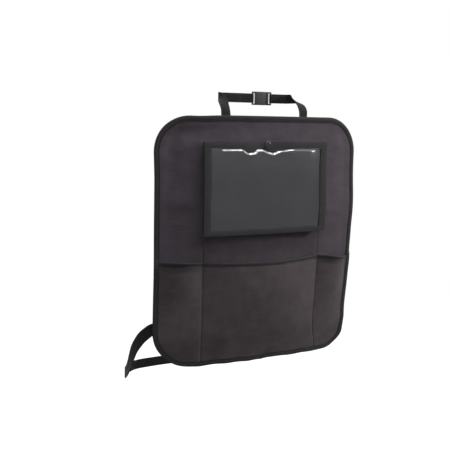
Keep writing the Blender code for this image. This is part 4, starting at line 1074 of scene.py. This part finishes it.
# Lower webbing round each flank of the seat: (out past the edge, share of the depth, share of the fall)
# and the direction of its width, with +X outwards. The left one lies over the bolster's rounded corner.
LEFT_FLANK = (
    ((0.0019, 0.0080, -0.027), (0.51, 0.16, 0.83)),
    ((0.0121, 0.0190, 0.014), (0.52, 0.32, 0.78)),
    ((0.0230, 0.0440, 0.080), (0.48, 0.58, 0.65)),
    ((0.0305, 0.0810, 0.165), (0.40, 0.76, 0.50)),
    ((0.0355, 0.1200, 0.250), (0.32, 0.84, 0.40)),
    ((0.0385, 0.1600, 0.345), (0.24, 0.84, 0.42)),
    ((0.0410, 0.2400, 0.520), (0.10, 0.76, 0.62)),
    ((0.0400, 0.3800, 0.700), (0.0, 0.60, 0.80)),
    ((0.0350, 0.5600, 0.845), (-0.08, 0.44, 0.89)),
    ((0.0200, 0.7900, 0.950), (-0.12, 0.25, 0.96)),
    ((-0.0140, 0.9650, 0.995), (-0.06, 0.06, 0.99)),
    ((-0.0750, 1.0, 1.0), (0.0, 0.0, 1.0)),
    ((-0.1400, 1.0, 1.0), (0.0, 0.0, 1.0)),
)
RIGHT_FLANK = (
    ((0.0030, 0.050, 0.030), (-0.10, 0.15, 0.97)),
    ((0.0105, 0.220, 0.140), (0.0, 0.35, 0.94)),
    ((0.0130, 0.460, 0.330), (0.0, 0.52, 0.85)),
    ((0.0125, 0.690, 0.580), (-0.05, 0.62, 0.78)),
    ((0.0050, 0.870, 0.820), (-0.15, 0.52, 0.83)),
    ((-0.0200, 0.975, 0.965), (-0.10, 0.20, 0.97)),
    ((-0.0750, 1.0, 1.0), (0.0, 0.0, 1.0)),
    ((-0.1400, 1.0, 1.0), (0.0, 0.0, 1.0)),
)
BUCKLE_SPAN = 0.045
BUCKLE_BAR = 0.0030
BUCKLE_BEVEL = 0.00035
RUN_Y = POST_DIAMETER / 2 + POST_CLEARANCE + STRAP_THICKNESS / 2
BAR_TURN = BUCKLE_BAR / 2 + GAP + STRAP_THICKNESS / 2
CURVE_STEPS = 14


def smooth_stations(stations):
    """Catmull-Rom curve through (point, width direction) stations."""
    rows = np.array([np.concatenate([np.asarray(p, float), np.asarray(w, float)]) for p, w in stations])
    padded = np.concatenate([rows[:1], rows, rows[-1:]])
    t = (np.arange(CURVE_STEPS) / CURVE_STEPS)[:, None]
    parts = []
    for a, b, c, d in zip(padded, padded[1:], padded[2:], padded[3:]):
        square = (2 * a - 5 * b + 4 * c - d) * t ** 2
        cube = (3 * b - a - 3 * c + d) * t ** 3
        parts.append(0.5 * (2 * b + (c - a) * t + square + cube))
    parts.append(rows[-1:])
    return np.concatenate(parts)


def bar_turn(side, bar_x, run_y, z, tail):
    """The run up to a buckle bar, the turn round it and the tail laid back along the run."""
    rows = [(bar_x + side * BAR_APPROACH * share, run_y) for share in (1.0, 0.5)]
    bar_y = run_y + BAR_TURN
    for angle in np.linspace(0.0, math.pi, 25):
        rows.append((bar_x - side * BAR_TURN * math.sin(angle), bar_y - BAR_TURN * math.cos(angle)))
    tail_y = run_y + STRAP_THICKNESS + GAP
    step_y = bar_y + BAR_TURN
    for share in np.linspace(0.0, 1.0, 12)[1:]:
        lowered = (tail_y - step_y) * float(smoothstep(0.0, 1.0, share))
        rows.append((bar_x + side * TAIL_START * share, step_y + lowered))
    for share in np.linspace(0.0, 1.0, 8)[1:]:
        rows.append((bar_x + side * (TAIL_START + tail * share), tail_y))
    return np.array([(x, y, z, 0.0, 0.0, 1.0) for x, y in rows])


def back_of_mat(x, z):
    return on_mat(x, z, -(MAT_THICKNESS + GAP + TAPE_THICKNESS + GAP + STRAP_THICKNESS / 2))


def across_mat(x, z, toward_x, toward_z):
    return unit(on_mat(x + toward_x * 0.001, z + toward_z * 0.001, 0.0) - on_mat(x, z, 0.0))


def headrest_path(side, rise, bar_x, tail):
    x = side * HEADREST_STRAP_X + HEADREST_STRAP_SHIFT
    post_x = side * POST_SPACING / 2
    top = back_of_mat(x, TOP_Z)
    inner = across_mat(x, TOP_Z, -side, 0)
    path = [(back_of_mat(x, TOP_Z - STRAP_SEWN_LENGTH * share), inner) for share in (1.0, 0.6, 0.2)]
    path.append((top + np.array((0, 0.0010, 0.0020)), inner))
    beside_post = post_x + side * RUN_Y
    for (in_share, depth_share, fall_share), (width_x, width_y, width_z) in rise:
        place = (x + (beside_post - x) * in_share, top[1] * depth_share, top[2] * fall_share)
        path.append((place, (side * width_x, width_y, width_z)))
    path.append(((beside_post, 0.0, 0.0), (0, 0, 1)))
    rows = [smooth_stations(path)]
    turns = np.radians(np.arange(10, 91, 10))
    around = [(post_x + side * RUN_Y * math.cos(a), RUN_Y * math.sin(a), 0, 0, 0, 1) for a in turns]
    rows.append(np.array(around))
    rows.append(bar_turn(side, bar_x, RUN_Y, 0.0, tail))
    return np.concatenate(rows)


def seat_path(side, flank, bar_x, tail):
    edge_z = TOP_Z - SEAT_STRAP_DROP
    path = []
    for share, fall, set_back in SEAT_STRAP_SEWN:
        x = side * (HALF_WIDTH - share * STRAP_SEWN_LENGTH)
        place = back_of_mat(x, edge_z - fall) + np.array((0, set_back, 0))
        path.append((place, across_mat(x, edge_z - fall, -side * 0.20, 0.98)))
    edge = back_of_mat(side * HALF_WIDTH, edge_z - SEAT_STRAP_LEAVES)
    deep = SEAT_LOOP_DEPTH - edge[1]
    descent = -SEAT_LOOP_DROP - edge[2]
    for (out, depth_share, fall_share), (width_x, width_y, width_z) in flank:
        place = (side * (HALF_WIDTH + out), edge[1] + deep * depth_share, edge[2] + descent * fall_share)
        path.append((place, (side * width_x, width_y, width_z)))
    turn = bar_turn(side, bar_x, SEAT_LOOP_DEPTH, -SEAT_LOOP_DROP, tail)
    return np.concatenate([smooth_stations(path), turn])


def strap_frame(rows):
    """Places, unit width and unit normal directions along a strap, and the distance travelled."""
    points = rows[:, :3]
    ahead = np.concatenate([points[1:], points[-1:]])
    behind = np.concatenate([points[:1], points[:-1]])
    tangent = unit(ahead - behind)
    width = square_to(tangent, rows[:, 3:])
    return points, width, np.cross(tangent, width), lengths_along(points)


# Half of the webbing's section, from edge to edge: (share of half the width, share of half the thickness)
WEB_SECTION = (
    (-1.0, 0.30), (-0.990, 0.72), (-0.965, 0.96), (-0.93, 1.0), (-0.84, 1.0), (-0.80, 0.80), (-0.76, 1.0),
    (-0.4, 1.0), (0.0, 1.0), (0.4, 1.0), (0.76, 1.0), (0.80, 0.80), (0.84, 1.0), (0.93, 1.0), (0.965, 0.96),
    (0.990, 0.72), (1.0, 0.30),
)


def make_strap(name, rows, strap_width, node):
    keep = np.concatenate([[True], np.linalg.norm(np.diff(rows[:, :3], axis=0), axis=1) > 1e-5])
    points, width, normal, travelled = strap_frame(rows[keep])
    lines = []
    for share, height in WEB_SECTION + tuple((-share, -height) for share, height in WEB_SECTION):
        lines.append(points + width * (strap_width / 2 * share) + normal * (STRAP_THICKNESS / 2 * height))
    swept_piece(name, lines, travelled, WEBBING, node)
    return points, width, normal, travelled


def strap_line(strap, start, end, low, high, sign):
    """A line on one face of a strap, from (start, low) to (end, high) in metres along and across it."""
    points, width, normal, travelled = strap
    count = max(int(np.hypot(end - start, high - low) / 0.001), 2)
    along = np.linspace(start, end, count)
    across = np.linspace(low, high, count)[:, None]
    out = between(along, travelled, normal) * sign
    middle = between(along, travelled, points) + between(along, travelled, width) * across
    return middle + out * (STRAP_THICKNESS / 2), out


BOX_INSET = 0.0035
BOX_START = 0.004
BOX_CLEAR = 0.003
RUN_CLEAR = 0.0016


def box_stitch(strap, strap_width, start, end, sign):
    """The sewn box with a cross in it that fastens webbing."""
    edge = strap_width / 2 - BOX_INSET
    corners = ((start, end, -edge, -edge), (start, end, edge, edge), (start, start, -edge, edge))
    corners += ((end, end, -edge, edge), (start, end, -edge, edge), (start, end, edge, -edge))
    return [strap_line(strap, *corner, sign) for corner in corners]


def make_straps():
    upper, lower = HEADREST_STRAP_WIDTH, SEAT_STRAP_WIDTH
    left_bar = HEADREST_BUCKLE_X - BUCKLE_SPAN / 2
    seat_bar = BUCKLE_SPAN / 2
    straps = []
    for name, rows, width, node in (
        ("upper_web_left", headrest_path(-1, LEFT_RISE, left_bar, TAIL_SEWN), upper, "headrest_strap_left"),
        ("upper_web_right", headrest_path(1, RIGHT_RISE, left_bar + BUCKLE_SPAN, HEADREST_TAIL), upper,
         "headrest_strap_right"),
        ("lower_web_left", seat_path(-1, LEFT_FLANK, -seat_bar, TAIL_SEWN), lower, "seat_strap_left"),
        ("lower_web_right", seat_path(1, RIGHT_FLANK, seat_bar, SEAT_TAIL), lower, "seat_strap_right"),
    ):
        straps.append((make_strap(name, rows, width, node), width))
    lines = []
    for (strap, width), side in zip(straps, (-1, 1, -1, 1)):
        mat_back = on_mat(side * 0.1, MAT_Z, -1.0) - on_mat(side * 0.1, MAT_Z, 0.0)
        sign = 1 if float(np.dot(strap[2][2], mat_back)) > 0 else -1
        lines += box_stitch(strap, width, BOX_START, STRAP_SEWN_LENGTH - 2 * BOX_CLEAR, sign)
    for strap, width in straps[::2]:
        end = strap[3][-1]
        sign = 1 if strap[2][-1][1] > 0 else -1
        run_end = end - TAIL_SEWN - 2 * TAIL_START - math.pi * BAR_TURN - RUN_CLEAR
        for stop in (end, run_end):
            lines += box_stitch(strap, width, stop - TAIL_SEWN + BOX_CLEAR, stop - BOX_CLEAR, sign)
    stitches("webbing_stitches", lines, "webbing", NARROW_PITCH)


def make_buckles():
    """Each buckle half is its CAD form with softened edges."""
    for node in ("headrest_buckle_socket", "headrest_buckle_plug", "seat_buckle_socket", "seat_buckle_plug"):
        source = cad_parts[node]
        mesh = source.data.copy()
        mesh.name = node.replace("buckle", "clip")
        piece = placed(mesh.name, mesh)
        piece.matrix_world = source.matrix_world.copy()
        work = bmesh.new()
        work.from_mesh(mesh)
        bmesh.ops.remove_doubles(work, verts=work.verts, dist=1e-6)
        bmesh.ops.dissolve_limit(work, angle_limit=math.radians(1.0), verts=work.verts, edges=work.edges)
        joined = [edge for edge in work.edges if len(edge.link_faces) == 2]
        sharp = [edge for edge in joined if edge.calc_face_angle(0.0) > math.radians(28)]
        bmesh.ops.bevel(
            work, geom=sharp, offset=BUCKLE_BEVEL, segments=3, profile=0.5, affect="EDGES", clamp_overlap=True
        )
        work.to_mesh(mesh)
        work.free()
        mesh.materials.clear()
        dressed(piece, PLASTIC, node, 40)


# Floor, light and camera

FLOOR_Z = -0.95
FLOOR_NEAR = 0.7
FLOOR_FAR = 2.2
FLOOR_GLOW = 0.72
WORLD_LIGHT = 0.22
FRAME_SIZE = 36.0
CAMERA_PLACE = (-0.55376, -1.24425, -0.05890)
CAMERA_RIGHT = (0.93203, -0.36207, 0.01504)
CAMERA_UP = (0.04645, 0.16054, 0.98594)
CAMERA_FORWARD = (0.35939, 0.91822, -0.16645)
CAMERA_LENS = 47.71


def seen_share(tree):
    """1 for what the camera, a gloss or a see-through surface shows, and 0 for light."""
    path = add(tree, "LightPath").outputs
    return sum_up(tree, "MAXIMUM", path["Is Camera Ray"], path["Is Transmission Ray"], path["Is Glossy Ray"])


def floor_material():
    """Pale to the eye with the object's shadow on it, white far away, and mid grey to the light."""
    made, tree, shader, place = start_material("pale_floor")
    set_sockets(shader, {"Base Color": (0.40, 0.40, 0.40, 1.0), "Roughness": 0.95})
    dull = add(tree, "BsdfDiffuse", {"Color": (0.22, 0.22, 0.22, 1.0)}).outputs[0]
    glow = add(tree, "Emission", {"Color": WHITE, "Strength": FLOOR_GLOW}).outputs[0]
    white = add(tree, "Emission", {"Color": WHITE, "Strength": 1.0}).outputs[0]
    paler = add(tree, "AddShader", {0: glow, 1: shader.outputs[0]}).outputs[0]
    away = add(tree, "VectorMath", {0: place}, operation="LENGTH").outputs["Value"]
    limits = {"Value": away, "From Min": FLOOR_NEAR, "From Max": FLOOR_FAR}
    far = add(tree, "MapRange", limits, interpolation_type="SMOOTHSTEP").outputs[0]
    faded = mixed_surface(tree, far, paler, white)
    return surfaced(made, mixed_surface(tree, seen_share(tree), dull, faded))


def make_stage():
    bpy.ops.mesh.primitive_plane_add(size=30.0, location=(0.0, 0.0, FLOOR_Z))
    floor = bpy.context.object
    floor.name = "floor"
    floor.data.materials.append(floor_material())
    world = bpy.data.worlds.new("studio")
    bpy.context.scene.world = world
    world.use_nodes = True
    tree = world.node_tree
    tree.nodes.clear()
    lit = add(tree, "Background", {"Color": (0.92, 0.95, 1.0, 1.0), "Strength": WORLD_LIGHT}).outputs[0]
    shown = add(tree, "Background", {"Color": WHITE, "Strength": 1.0}).outputs[0]
    add(tree, "OutputWorld", {"Surface": mixed_surface(tree, seen_share(tree), lit, shown)})


def lamp(name, place, target, size, watts, colour=(1.0, 1.0, 1.0)):
    data = bpy.data.lights.new(name, "AREA")
    data.shape = "RECTANGLE"
    data.size, data.size_y = size
    data.energy = watts
    data.color = colour
    made = placed(name, data)
    made.location = place
    aim = Vector(target) - Vector(place)
    made.rotation_euler = aim.to_track_quat("-Z", "Y").to_euler()


def make_lights():
    centre = (0.0, -0.05, MAT_Z)
    lamp("key", (2.1, -1.0, 0.75), centre, (0.5, 0.5), 47.0, (1.0, 0.97, 0.95))
    lamp("overhead", (0.25, -0.55, 1.40), centre, (1.0, 0.6), 34.0)
    lamp("fill", (-1.2, -2.1, 0.8), centre, (1.4, 1.4), 14.0, (0.95, 0.97, 1.0))
    lamp("rear", (0.2, 2.0, 0.9), centre, (1.6, 1.2), 16.0)


def make_camera():
    data = bpy.data.cameras.new("camera")
    data.lens = CAMERA_LENS
    data.sensor_width = FRAME_SIZE
    data.sensor_height = FRAME_SIZE
    data.clip_start = 0.01
    camera = placed("camera", data)
    turn = Matrix((CAMERA_RIGHT, CAMERA_UP, tuple(-value for value in CAMERA_FORWARD))).transposed()
    camera.matrix_world = Matrix.Translation(CAMERA_PLACE) @ turn.to_4x4()
    bpy.context.scene.camera = camera


def main():
    make_camera()
    make_stage()
    make_lights()
    make_panel()
    make_binding()
    make_pocket()
    make_hem()
    make_wall()
    lines = make_border() + make_band()
    stitches("border_stitches", lines, "border_fabric", NARROW_PITCH)
    make_window()
    make_snap()
    make_straps()
    make_buckles()
    bpy.context.scene.view_settings.view_transform = "Standard"


main()
